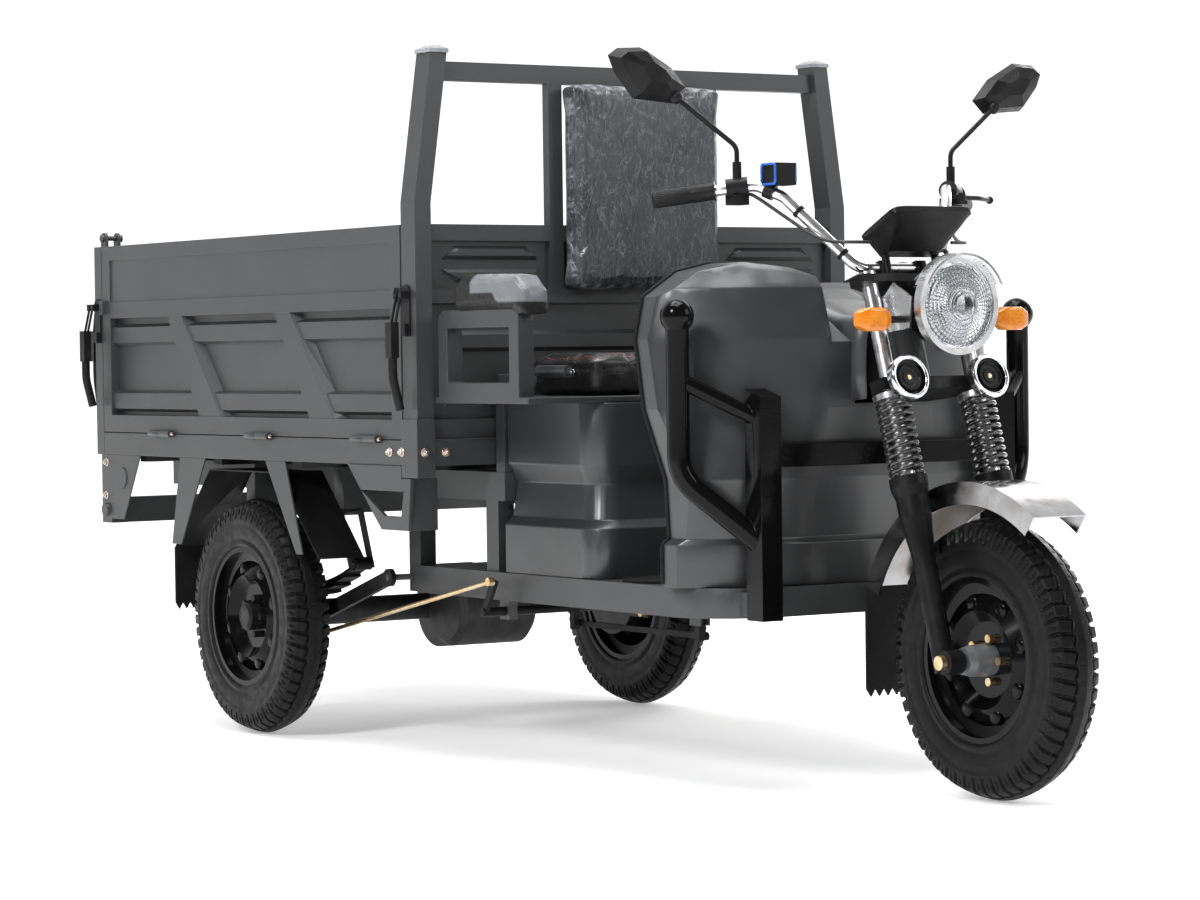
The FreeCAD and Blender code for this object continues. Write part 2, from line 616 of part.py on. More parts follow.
def chassis():
    """Everything welded to the main frame."""
    tall = d.floor_high - d.floor_low
    middle = (d.floor_high + d.floor_low) / 2
    rim = cut(plate("XY", floor_outline(0), tall, (0, 0, middle)),
              plate("XY", floor_outline(d.rail_wide), tall + d.overrun, (0, 0, middle)))
    deck = plate("XY", floor_outline(d.sheet), d.sheet, (0, 0, d.floor_high - d.sheet / 2))
    slot = block(d.slot_x - d.slot_long / 2, d.slot_x + d.slot_long / 2, -d.slot_y - d.slot_half,
                 d.slot_half - d.slot_y, d.floor_low, d.floor_high + d.overrun)
    deck = cut(deck, slot)
    parts = [rim, deck]
    for x in (d.beam_front, (d.beam_front + d.floor_front) / 2 - d.slot_long):
        parts.append(block(x - d.cross_wide / 2, x + d.cross_wide / 2, -d.floor_half, d.floor_half,
                           d.floor_low, d.floor_high))
    for s in (-1, 1):
        y0 = s * d.beam_y - d.beam_wide / 2
        y1 = s * d.beam_y + d.beam_wide / 2
        parts.append(block(-d.bed_rear, d.beam_front, y0, y1, d.beam_low, d.beam_high))
        parts.append(block(d.post_a - d.post_long / 2, d.post_a + d.post_long / 2, y0, y1,
                           d.floor_low, d.beam_high))
        parts.append(block(d.post_b - d.post_long / 2, d.post_b + d.post_long / 2, y0, y1,
                           d.floor_low, d.beam_high))
        hang0 = s * d.spring_y - d.leaf_wide / 2 - d.shackle_thick
        hang1 = s * d.spring_y + d.leaf_wide / 2 + d.shackle_thick
        inner = s * d.beam_y
        for end in (-1, 1):
            x = end * (d.eye_reach - d.shackle_lean)
            parts.append(block(x - d.ear_wide / 2, x + d.ear_wide / 2, min(hang0, inner, key=float),
                               max(hang1, inner, key=float), d.shackle_top + d.shackle_wide / 2,
                               d.beam_high))
        rod_y = s * (d.spring_y + d.pad_wide / 2 + d.play)
        pin_end = rod_y + s * d.rod_thick
        face = s * (d.beam_y + d.beam_wide / 2)
        parts.append(cyl("Y", d.pin_radius, (d.rod_fore, min(face, pin_end, key=float), d.rod_fore_z),
                         pin_end - face if s > 0 else face - pin_end))
        up0 = s * d.upright_y - d.upright_wide / 2
        up1 = s * d.upright_y + d.upright_wide / 2
        parts.append(block(d.upright_x, d.upright_x + d.upright_wide, up0, up1, d.floor_low, d.upright_top))
        g0 = s * d.guard_y - d.guard_wide / 2 + d.sheet
        parts.append(block(d.guard_x - d.guard_seat_long, d.guard_x, g0, g0 + d.guard_wide - 2 * d.sheet,
                           d.guard_seat_low, d.guard_seat_high))
        rail = s * (d.floor_half - d.rail_wide / 2)
        bearing = block(d.shaft_x - d.bearing_half, d.shaft_x + d.bearing_half, rail - d.bearing_half / 2,
                        rail + d.bearing_half / 2, d.bearing_low, d.floor_low)
        parts.append(cut(bearing, cyl("Y", d.cross_radius + d.running_play,
                                      (d.shaft_x, rail - d.bearing_half, d.shaft_z), 2 * d.bearing_half)))
        hang = s * (d.pedal_half + d.play) - d.slot_y
        parts.append(block(d.pedal_x - d.cheek_long / 2, d.pedal_x + d.cheek_long / 2,
                           min(hang, hang + s * d.cheek_wide, key=float),
                           max(hang, hang + s * d.cheek_wide, key=float), d.cheek_low,
                           d.floor_high - d.sheet))
    reach_y = d.pedal_half + d.play + d.cheek_wide
    parts.append(cyl("Y", d.pedal_pin, (d.pedal_x, -d.slot_y - reach_y, d.pedal_z), 2 * reach_y))
    for x in (-d.bed_rear + d.cross_wide, d.post_a - d.post_long / 2, d.beam_front - d.cross_wide):
        parts.append(block(x, x + d.cross_wide, -d.beam_y, d.beam_y, d.beam_low, d.beam_high))
    parts.append(block(d.upright_x, d.upright_x + d.upright_wide, -d.upright_y, d.upright_y,
                       d.neck_low, d.upright_top))
    neck_mid = (d.neck_low + d.neck_high) / 2
    reach = d.head_x - (neck_mid - d.head_z) * sind(d.rake_angle) / cosd(d.rake_angle)
    neck = block(d.upright_x, reach, -d.neck_half, d.neck_half, d.neck_low, d.neck_high)
    head = cyl("Z", d.head_radius, (0, 0, d.head_low), d.head_high - d.head_low)
    bore = cyl("Z", d.stem_radius + d.running_play, (0, 0, d.head_low - d.overrun),
               d.head_high - d.head_low + 2 * d.overrun)
    turn = FreeCAD.Placement(FreeCAD.Vector(), FreeCAD.Rotation(-Y_AXIS, d.rake_angle.value))
    raked = []
    for item in (head, bore):
        holder = group(item)
        holder.Placement = turn
        holder.setExpression("Placement.Rotation.Angle", d.rake_angle.text)
        raked.append(put(holder, (d.head_x, 0, d.head_z)))
    welded = fuse(*parts, neck, raked[0])
    return cut(welded, raked[1])


axle = axle_housing()
clips = [clip for s in (-1, 1) for clip in spring_clips(s * d.spring_y)]
node("rear_axle", axle, *clips)
node("leaf_springs", leaf_pack(-d.spring_y), leaf_pack(d.spring_y))
node("radius_rods", both(radius_rod()))
node("chassis_frame", chassis(), shackle_set(-d.spring_y), shackle_set(d.spring_y))

# Cargo bed: rails, cross members and floor sheet
bed_sizes = {
    "front_post_ahead": 6, "front_post_long": 60, "floor_sheet": 2, "cross_count": 4, "cross_first": 620,
    "cross_step": 400, "gusset_thick": 4, "gusset_low": 612, "gusset_high": 738, "gusset_back": 4,
    "barrel_radius": 8, "barrel_long": 54, "barrel_out": 9, "barrel_leaf": 8, "hinge_pin": 4,
    "hinge_first": 460, "hinge_step": 504, "hinge_count": 3,
}
define(bed_sizes)
from_bed_front("front_post_x")
front_face = d.front_post_x + d.front_post_long
hinge_y = -d.bed_half - d.barrel_out
hinge_z = d.bed_top + d.panel_gap / 2


def hinge_places():
    return [i * d.hinge_step - d.hinge_first for i in range(int(d.hinge_count.value))]


def knuckle(x, low, high):
    """One half of a hinge barrel with the leaf that joins it to a face at the bed's side."""
    barrel = cyl("X", d.barrel_radius, (x, hinge_y, hinge_z), d.barrel_long)
    leaf = block(x, x + d.barrel_long, hinge_y, -d.bed_half, low, high)
    return fuse(barrel, leaf)


def bed_frame():
    """Perimeter rails with round corner gussets, cross members down on the beams, and the floor."""
    inner = d.bed_half - d.post_wide
    parts = []
    for s in (-1, 1):
        y0 = -d.bed_half if s < 0 else inner
        parts.append(block(-d.bed_rear, front_face, y0, y0 + d.post_wide, d.bed_bottom, d.bed_top))
        g0 = -d.bed_half - d.gusset_thick if s < 0 else d.bed_half
        parts.append(block(d.front_post_x - d.gusset_back, front_face + d.gusset_thick, g0,
                           g0 + d.gusset_thick, d.gusset_low, d.gusset_high))
        parts.append(block(front_face, front_face + d.gusset_thick, y0, y0 + d.post_wide,
                           d.gusset_low, d.gusset_high))
    parts.append(block(-d.bed_rear, d.post_wide - d.bed_rear, -inner, inner, d.bed_bottom, d.bed_top))
    parts.append(block(d.front_post_x, front_face, -inner, inner, d.bed_bottom, d.bed_top))
    for i in range(int(d.cross_count.value)):
        x = i * d.cross_step - d.cross_first
        parts.append(block(x, x + d.cross_wide, -inner, inner, d.beam_high, d.bed_top))
    parts.append(block(-d.bed_rear, d.front_post_x - d.panel_gap, d.panel_gap - inner, inner - d.panel_gap,
                       d.bed_top, d.bed_top + d.floor_sheet))
    return fuse(*parts)


def fixed_hinges():
    """The rail's half of each side hinge, with its pin running on through the board's half."""
    parts = []
    for x in hinge_places():
        start = x + d.barrel_long + d.panel_gap
        parts.append(knuckle(start, hinge_z - d.barrel_leaf, d.bed_top - d.panel_gap / 2))
        parts.append(cyl("X", d.hinge_pin, (x - d.overrun, hinge_y, hinge_z),
                         2 * d.barrel_long + 2 * d.overrun + d.panel_gap))
    return fuse(*parts[:2]), fuse(*parts[2:4]), fuse(*parts[4:])


node("bed_frame", bed_frame())
right_hinges = group(*fixed_hinges())

# Side boards: tube frame, plain upper sheet, recessed lower pressing with ribs
board_sizes = {
    "rail_tall": 35, "end_wide": 45, "mid_low": 975, "mid_high": 1015, "foot_tall": 42, "board_inset": 2,
    "sheet_set": 4, "pressing_set": 24, "rib_low": 752, "rib_tall": 38, "rib_step": 162, "rib_set": 7,
    "slant_top": 108, "slant_foot": 146, "slant_lean": 163, "slant_first": 392, "slant_step": 548,
    "slant_set": 3, "slant_bevel": 22, "keeper_long": 20, "keeper_tall": 34, "keeper_out": 12,
    "keeper_z": 985, "keeper_in": 6,
}
define(board_sizes)
board_rear = d.board_inset - d.bed_rear
board_low = d.bed_top + d.panel_gap


def slanted_rib(foot_x, low, high):
    """Pressed rib that leans forwards to its foot, with bevelled flanks."""
    base_y = d.pressing_set - d.bed_half
    face_y = d.slant_set - d.bed_half
    top_x = foot_x - d.slant_lean
    base = [(foot_x, base_y, low), (foot_x + d.slant_foot, base_y, low),
            (top_x + d.slant_top, base_y, high), (top_x, base_y, high)]
    face = [(foot_x + d.slant_bevel / 2, face_y, low), (foot_x + d.slant_foot - d.slant_bevel, face_y, low),
            (top_x + d.slant_top - d.slant_bevel, face_y, high), (top_x + d.slant_bevel / 2, face_y, high)]
    return loft([polygon(base), polygon(face)])


def board_pressing(x0, x1, low, high, face_y):
    """Recessed sheet with two level ribs that stand out towards the frame's face."""
    sheet_y = face_y + d.pressing_set
    parts = [block(x0, x1, sheet_y, sheet_y + d.sheet, low, high)]
    for i in range(2):
        z = d.rib_low + i * d.rib_step
        bevel = d.rib_set
        out = face_y + d.rib_set
        parts.append(plate("YZ", [(sheet_y, z - bevel), (sheet_y, z + d.rib_tall + bevel), (out,
                                        z + d.rib_tall),
                                  (out, z)], x1 - x0, ((x0 + x1) / 2, 0, 0)))
    return parts


def side_board():
    outer = -d.bed_half
    inner = d.post_wide - d.bed_half
    x0 = board_rear
    x1 = d.bed_front
    in0 = x0 + d.end_wide
    in1 = x1 - d.end_wide
    foot = board_low + d.foot_tall
    parts = [
        block(x0, x1, outer, inner, d.board_top - d.rail_tall, d.board_top),
        block(x0, x1, outer, inner, board_low, foot),
        block(x0, in0, outer, inner, board_low, d.board_top),
        block(in1, x1, outer, inner, board_low, d.board_top),
        block(in0, in1, outer, inner, d.mid_low, d.mid_high),
        block(in0, in1, outer + d.sheet_set, outer + d.sheet_set + d.sheet, d.mid_high,
              d.board_top - d.rail_tall)]
    parts += board_pressing(in0, in1, foot, d.mid_low, outer)
    for i in range(2):
        foot_x = i * d.slant_step - d.slant_first + d.slant_lean
        parts.append(slanted_rib(foot_x, foot, d.mid_low))
    bores = []
    for x in hinge_places():
        parts.append(knuckle(x, hinge_z + d.panel_gap / 2, hinge_z + d.barrel_leaf))
        bores.append(cyl("X", d.hinge_pin + d.running_play, (x - d.overrun, hinge_y, hinge_z),
                         d.barrel_long + 2 * d.overrun))
    for x in (x0 + d.keeper_in, x1 - d.keeper_in - d.keeper_long):
        parts.append(block(x, x + d.keeper_long, outer - d.keeper_out, outer, d.keeper_z,
                           d.keeper_z + d.keeper_tall))
    return cut(fuse(*parts), *bores)


right_board = side_board()
node("right_side_board", right_board)
node("left_side_board", mirrored(right_board))

# Rear corner posts with their ears, and the top-hung tailgate
post_sizes = {
    "ear_high": 36, "ear_radius": 14, "ear_plate": 8, "ear_inset": 16, "bolt_radius": 6, "bolt_head": 9,
    "bolt_head_long": 6, "gate_ear_in": 50, "gate_drop": 2,
}
define(post_sizes)
gate_x = rear_face + d.post_wide / 2
pivot_z = d.board_top + d.ear_high - d.ear_radius
post_ear_y = -d.bed_half + d.ear_inset + d.ear_plate / 2
gate_ear_y = -d.bed_half + d.gate_ear_in + d.ear_plate / 2


def ear(y, foot_z):
    """Round-headed lug with its foot on a rail."""
    r = d.ear_radius
    return plate("XZ", [(gate_x - r, foot_z), (gate_x + r, foot_z), (gate_x + r, pivot_z),
                        (gate_x, pivot_z + r, r), (gate_x - r, pivot_z, r)], d.ear_plate, (0, y, 0))


def rear_post():
    outer = -d.bed_half
    post = block(rear_face, -d.bed_rear, outer, outer + d.post_wide, d.bed_bottom, d.board_top)
    start = post_ear_y - d.ear_plate / 2
    stop = gate_ear_y + d.ear_plate / 2 + d.panel_gap
    bolt = cyl("Y", d.bolt_radius, (gate_x, start, pivot_z), stop - start)
    heads = [cyl("Y", d.bolt_head, (gate_x, y, pivot_z), d.bolt_head_long)
             for y in (start - d.bolt_head_long, stop)]
    return fuse(post, ear(post_ear_y, d.board_top), bolt, *heads)


def tailgate():
    half = d.bed_half - d.post_wide - d.panel_gap
    back = rear_face + d.panel_gap
    front = -d.bed_rear - d.panel_gap
    low = d.bed_bottom + d.gate_drop
    top = d.board_top - d.gate_drop
    in0 = d.end_wide - half
    in1 = half - d.end_wide
    foot = board_low + d.foot_tall
    parts = [
        block(back, front, -half, half, top - d.rail_tall, top), block(back, front, -half, half, low, foot),
        block(back, front, -half, in0, low, top), block(back, front, in1, half, low, top),
        block(back, front, in0, in1, d.mid_low, d.mid_high),
        block(back + d.sheet_set, back + d.sheet_set + d.sheet, in0, in1, d.mid_high, top - d.rail_tall)]
    sheet_x = back + d.pressing_set
    parts.append(block(sheet_x, sheet_x + d.sheet, in0, in1, foot, d.mid_low))
    for i in range(2):
        z = d.rib_low + i * d.rib_step
        out = back + d.rib_set
        parts.append(plate("XZ", [(sheet_x, z - d.rib_set), (sheet_x, z + d.rib_tall + d.rib_set),
                                  (out, z + d.rib_tall), (out, z)], in1 - in0, (0, 0, 0)))
    lugs = ear(gate_ear_y, top)
    bore = cyl("Y", d.bolt_radius + d.running_play, (gate_x, gate_ear_y - d.ear_plate, pivot_z),
               2 * d.ear_plate)
    return cut(fuse(*parts, lugs, mirrored(lugs)), bore, mirrored(bore))


node("rear_posts", both(rear_post()))
node("tailgate", tailgate())

# Latch levers that hang on the posts
latch_sizes = {
    "latch_z": 1003, "latch_pin": 4, "latch_eye": 8, "latch_wide": 26, "latch_stand": 16, "latch_wire": 3,
    "latch_lip": 1, "latch_bow_drop": 58, "latch_body": 76, "latch_body_wide": 18,
    "latch_grip": 10, "latch_grip_drop": 245, "latch_grip_in": 14, "latch_grip_bend": 120,
    "base_wide": 34, "base_thick": 4, "base_up": 22, "base_down": 88, "cheek_thick": 4, "catch_tall": 26,
    "catch_out": 14,
}
define(latch_sizes)


def latch_base():
    """Back plate with two cheeks that carry the lever's pin, drawn about the pin, facing -Y."""
    wall = d.latch_stand
    half = d.base_wide / 2
    back = plate("XZ", [(-half, -d.base_down), (half, -d.base_down), (half, d.base_up - half),
                        (0, d.base_up, half), (-half, d.base_up - half, half)], d.base_thick,
                 (0, wall - d.base_thick / 2, 0))
    cheeks = [block(x, x + d.cheek_thick, -d.latch_eye, wall - d.base_thick, -d.latch_eye, d.latch_eye)
              for x in (-half, half - d.cheek_thick)]
    pin = cyl("X", d.latch_pin, (-half, 0, 0), d.base_wide)
    catch = block(-d.latch_body_wide / 2, d.latch_body_wide / 2, wall - d.base_thick - d.catch_out / 2,
                  wall - d.base_thick, -d.base_down, d.catch_tall - d.base_down)
    return fuse(back, *cheeks, pin, catch)


def latch_lever():
    """Wire bail from the pin to a channel-shaped lever with a curved hand grip."""
    inner = d.base_wide / 2 - d.cheek_thick - d.play
    reach = d.latch_bow - d.latch_stand
    thick = 2 * (d.latch_wire + d.latch_lip)
    eyes = cut(cyl("X", d.latch_eye, (-inner, 0, 0), 2 * inner),
               cyl("X", d.latch_pin + d.running_play, (-inner - d.overrun, 0, 0), 2 * inner + 2 * d.overrun),
               block(-inner + thick, inner - thick, -d.latch_wide, d.latch_wide, -d.latch_wide,
                     d.latch_wide))
    wires = [pipe([(x, -d.latch_pin - d.latch_lip, -d.latch_pin), (x, -reach,
                                        -d.latch_bow_drop - d.latch_pin)],
                  d.latch_wire, d.latch_wire) for x in (thick / 2 - inner, inner - thick / 2)]
    low = d.latch_bow_drop + d.latch_body
    body = block(-inner, inner, -reach - d.latch_body_deep, d.latch_body_deep / 2 - reach, -low,
                 -d.latch_bow_drop)
    middle = (d.latch_bow_drop + d.latch_grip_drop) / 2
    grip = pipe([(0, -reach - d.latch_wire, -d.latch_bow_drop - d.latch_wide),
                 (0, -reach - d.latch_wire, -middle - d.latch_wide),
                 (0, d.latch_grip_in - reach, -d.latch_grip_drop)], d.latch_grip, d.latch_grip_bend)
    return fuse(eyes, *wires, body, grip)


def latch_places():
    """Name, place and turn about Z of each latch; a turn of 0 faces the rider's right."""
    side_y = -d.bed_half - d.latch_stand
    front_x = d.front_post_x + d.base_wide / 2 + d.cheek_thick
    rear_y = d.post_wide / 2 - d.bed_half
    return [
        ("front_right_latch", (front_x, side_y, d.latch_z), 0), ("front_left_latch", (front_x, -side_y,
                                        d.latch_z), 180),
        ("rear_right_latch", (gate_x, side_y, d.latch_z), 0), ("rear_left_latch", (gate_x, -side_y,
                                        d.latch_z), 180),
        ("gate_right_latch", (rear_face - d.latch_stand, rear_y, d.latch_z), -90),
        ("gate_left_latch", (rear_face - d.latch_stand, -rear_y, d.latch_z), -90)]


def facing(form, at, turn):
    holder = group(form)
    holder.Placement = FreeCAD.Placement(FreeCAD.Vector(), FreeCAD.Rotation(Z_AXIS, turn))
    return put(holder, at)


lever = latch_lever()
base = latch_base()
node("bed_fittings", both(right_hinges), *[facing(base, at, turn) for _, at, turn in latch_places()])
for latch_name, at, turn in latch_places():
    node(latch_name, facing(lever, at, turn))

# Headboard: two cranked posts, crossbar, uprights and a pressed front wall
headboard_sizes = {
    "knee_z": 1200, "head_top": 1520, "head_lean": 45, "cap_rise": 16, "cap_over": 3, "cap_inset": 12,
    "bar_low": 1462, "bar_tall": 40, "bar_inset": 15, "slim_y": 188, "slim_wide": 35, "slim_front_ahead": 54,
    "slim_deep": 24, "wall_rail_inset": 12, "wall_mid": 985, "wall_mid_tall": 30, "wall_sheet_ahead": 40,
    "emboss_out": 8, "emboss_near": 250, "emboss_far": 492, "emboss_slope": 30, "emboss_low": 1030,
    "emboss_step": 48, "emboss_tall": 30, "emboss_bevel": 9, "wall_rib_low": 765, "wall_rib_step": 115,
    "wall_rib_tall": 46,
}
define(headboard_sizes)
from_bed_front("slim_front", "wall_sheet_x")


def rect(x0, x1, y0, y1, z):
    return polygon([(x0, y0, z), (x1, y0, z), (x1, y1, z), (x0, y1, z)])


def head_post():
    x0 = d.front_post_x
    x1 = front_face
    y0 = -d.bed_half
    y1 = d.post_wide - d.bed_half
    top0 = y0 + d.head_lean
    top1 = y1 + d.head_lean
    over = d.cap_over
    lower = block(x0, x1, y0, y1, d.bed_top, d.knee_z)
    upper = loft([rect(x0, x1, y0, y1, d.knee_z), rect(x0, x1, top0, top1, d.head_top)])
    cap_z = d.head_top + d.cap_rise / 2
    rim = block(x0 - over, x1 + over, top0 - over, top1 + over, d.head_top, cap_z)
    dome = loft([rect(x0 - over, x1 + over, top0 - over, top1 + over, cap_z),
                 rect(x0 + d.cap_inset, x1 - d.cap_inset, top0 + d.cap_inset, top1 - d.cap_inset,
                      d.head_top + d.cap_rise)])
    return fuse(lower, upper, rim, dome)


def embossing(y0, y1, low, high, low_slope, high_slope):
    """Bevelled trapezoid raised from the front wall."""
    base_x = d.wall_sheet_x + d.sheet
    out_x = base_x + d.emboss_out
    bevel = d.emboss_bevel
    base = [(base_x, y0 + low_slope, low), (base_x, y1 - low_slope, low),
            (base_x, y1 - high_slope, high), (base_x, y0 + high_slope, high)]
    face = [(out_x, y0 + low_slope + bevel, low + bevel), (out_x, y1 - low_slope - bevel, low + bevel),
            (out_x, y1 - high_slope - bevel, high - bevel), (out_x, y0 + high_slope + bevel, high - bevel)]
    return loft([polygon(base), polygon(face)])


def headboard():
    post = head_post()
    inner = d.bed_half - d.post_wide
    reach = inner - d.head_lean + d.post_wide / 2
    x0 = d.front_post_x + d.wall_rail_inset
    x1 = front_face - d.wall_rail_inset
    parts = [
        post, mirrored(post),
        block(d.front_post_x + d.bar_inset, front_face - d.bar_inset, -reach, reach, d.bar_low,
              d.bar_low + d.bar_tall),
        block(x0, x1, -inner, inner, d.board_top - d.rail_tall, d.board_top),
        block(x0, x1, -inner, inner, d.wall_mid, d.wall_mid + d.wall_mid_tall),
        block(x0, x1, -inner, inner, board_low, board_low + d.foot_tall),
        block(d.wall_sheet_x, d.wall_sheet_x + d.sheet, -inner, inner, board_low, d.board_top)]
    for s in (-1, 1):
        y0 = -d.slim_y - d.slim_wide if s < 0 else d.slim_y
        parts.append(block(d.slim_front - d.slim_deep, d.slim_front, y0, y0 + d.slim_wide, d.wall_mid,
                           d.bar_low))
        e0 = -d.emboss_far if s < 0 else d.emboss_near
        e1 = -d.emboss_near if s < 0 else d.emboss_far
        upper = d.emboss_low + d.emboss_step
        parts.append(embossing(e0, e1, upper, upper + d.emboss_tall, 0, d.emboss_slope))
        parts.append(embossing(e0, e1, d.emboss_low, d.emboss_low + d.emboss_tall, d.emboss_slope, 0))
    for i in range(2):
        z = d.wall_rib_low + i * d.wall_rib_step
        parts.append(embossing(d.post_wide - inner, inner - d.post_wide, z, z + d.wall_rib_tall, 0, 0))
    return fuse(*parts)


node("headboard", headboard())

# Lamp corners, rear cross tube, mudguards, flaps and pressed side brackets
valance_sizes = {
    "leg_rear": 757, "leg_front": 704, "leg_low": 467, "lamp_plate_front": 538, "lamp_plate_foot": 635,
    "lamp_plate_low": 478, "lamp_plate_heel": 716, "socket_x": 730, "socket_z": 500, "socket_radius": 16,
    "socket_out": 8, "oval_x": 640, "oval_z": 580, "oval_radius": 26, "tube_rear": 745, "tube_front": 715,
    "tube_top": 530, "tail_lamp_half": 60, "tail_lamp_y": 440, "tail_lamp_low": 478, "tail_lamp_tall": 44,
    "tail_lamp_out": 20,
    "guard_top": 612, "guard_flat": 170, "guard_foot": 360, "guard_low": 420, "guard_inner": 450,
    "flap_low": 270, "flap_tooth": 16, "flap_tooth_count": 6, "flap_thick": 5,
    "stay_thick": 4, "stay_a_rear": 319, "stay_a_front": 186, "stay_a_foot": 368, "stay_foot_wide": 48,
    "stay_foot_z": 428, "stay_b_rear": 118, "stay_b_front": 214, "stay_b_foot": 262, "stay_b_foot_wide": 30,
    "step_rear": 514, "step_front_ahead": 39, "step_heel": 662, "step_toe_ahead": 27, "step_low": 498,
    "step_thick": 8, "step_frame": 30, "step_flange": 70,
}
define(valance_sizes)
from_bed_front("step_front", "step_toe")


def corner_leg():
    """Corner channel, lamp plate with an embossed round, and a lamp socket, on the right."""
    y0 = -d.bed_half
    leg = block(-d.leg_rear, -d.leg_front, y0, y0 + d.post_wide, d.leg_low, d.bed_bottom)
    flat = plate("XZ", [(-d.leg_front, d.bed_bottom), (-d.lamp_plate_heel, d.bed_bottom),
                        (-d.lamp_plate_heel, d.lamp_plate_low), (-d.lamp_plate_foot, d.lamp_plate_low),
                        (-d.lamp_plate_front, d.bed_bottom)], d.sheet, (0, y0 + d.sheet / 2, 0))
    oval = cyl("Y", d.oval_radius, (-d.oval_x, y0 - d.sheet, d.oval_z), d.sheet + d.sheet / 2)
    socket = cyl("Y", d.socket_radius, (-d.socket_x, y0 - d.socket_out, d.socket_z), d.socket_out + d.sheet)
    return fuse(leg, flat, oval, socket)


def valance():
    inner = d.bed_half - d.post_wide
    leg = corner_leg()
    tube = block(-d.tube_rear, -d.tube_front, -inner, inner, d.leg_low, d.tube_top)
    return fuse(leg, mirrored(leg), tube)


def tail_lamp():
    y = -d.tail_lamp_y
    x = -d.tube_rear
    low = d.tail_lamp_low
    high = low + d.tail_lamp_tall
    half = d.tail_lamp_half
    bevel = d.tail_lamp_out / 2
    base = [(x, y - half, low), (x, y + half, low), (x, y + half, high), (x, y - half, high)]
    out = x - d.tail_lamp_out
    face = [(out, y - half + bevel, low + bevel), (out, y + half - bevel, low + bevel),
            (out, y + half - bevel, high - bevel), (out, y - half + bevel, high - bevel)]
    return loft([polygon(base), polygon(face)])


def mudguard():
    """Folded sheet over the tyre, inside the plane of the stays."""
    outer = -d.bed_half + d.stay_thick
    t = d.sheet
    form = [(-d.guard_foot, d.guard_low), (-d.guard_flat, d.guard_top - t), (d.guard_flat, d.guard_top - t),
            (d.guard_foot, d.guard_low), (d.guard_foot + t, d.guard_low), (d.guard_flat + t / 2,
                                        d.guard_top),
            (-d.guard_flat - t / 2, d.guard_top), (-d.guard_foot - t, d.guard_low)]
    return plate("XZ", form, -outer - d.guard_inner, (0, (outer - d.guard_inner) / 2, 0))


def mud_flap():
    """Rubber sheet with a saw-tooth foot behind the wheel."""
    outer = -d.bed_half + d.stay_thick
    inner = -d.guard_inner
    count = int(d.flap_tooth_count.value)
    step = (inner - outer) / d.flap_tooth_count
    outline = [(outer, d.guard_low)]
    for i in range(count):
        outline.append((outer + i * step, d.flap_low + d.flap_tooth))
        outline.append((outer + i * step + step / 2, d.flap_low))
    outline.append((inner, d.flap_low + d.flap_tooth))
    outline.append((inner, d.guard_low))
    return plate("YZ", outline, d.flap_thick, (-d.guard_foot - d.flap_thick / 2, 0, 0))


def side_brackets():
    """Two mudguard stays and the pressed step under the front of the bed, on the right."""
    y = -d.bed_half + d.stay_thick / 2
    rear = plate("XZ", [(-d.stay_a_foot, d.stay_foot_z), (d.stay_foot_wide - d.stay_a_foot, d.stay_foot_z),
                        (-d.stay_a_front, d.bed_bottom), (-d.stay_a_rear, d.bed_bottom)], d.stay_thick, (0,
                                        y, 0))
    front = plate("XZ", [(d.stay_b_foot, d.stay_foot_z), (d.stay_b_foot + d.stay_b_foot_wide, d.stay_foot_z),
                         (d.stay_b_front, d.bed_bottom), (d.stay_b_rear, d.bed_bottom)], d.stay_thick, (0,
                                        y, 0))
    notch = d.front_post_x - d.gusset_back - d.panel_gap
    step = plate("XZ", [
        (d.step_heel, d.step_low), (d.step_toe, d.step_low), (d.step_front, d.gusset_low - d.panel_gap),
        (notch, d.gusset_low - d.panel_gap), (notch, d.bed_bottom), (d.step_rear, d.bed_bottom)],
        d.step_thick, (0, -d.bed_half, 0))
    f = d.step_frame
    window = plate("XZ", [
        (d.step_heel + f / 2, d.step_low + f), (d.step_toe - f, d.step_low + f),
        (d.step_front - f, d.gusset_low - f), (d.step_rear + 2 * f, d.gusset_low - f)],
        2 * d.step_thick, (0, -d.bed_half, 0))
    flange = block(d.step_toe - d.step_thick, d.step_toe, -d.bed_half, d.step_flange - d.bed_half,
                   d.step_low, d.gusset_low - d.panel_gap)
    return group(rear, front, fuse(cut(step, window), flange))


node("rear_valance", valance(), both(tail_lamp()))
node("rear_mudguards", both(mudguard()))
node("mud_flaps", both(mud_flap()))
node("side_brackets", both(side_brackets()))

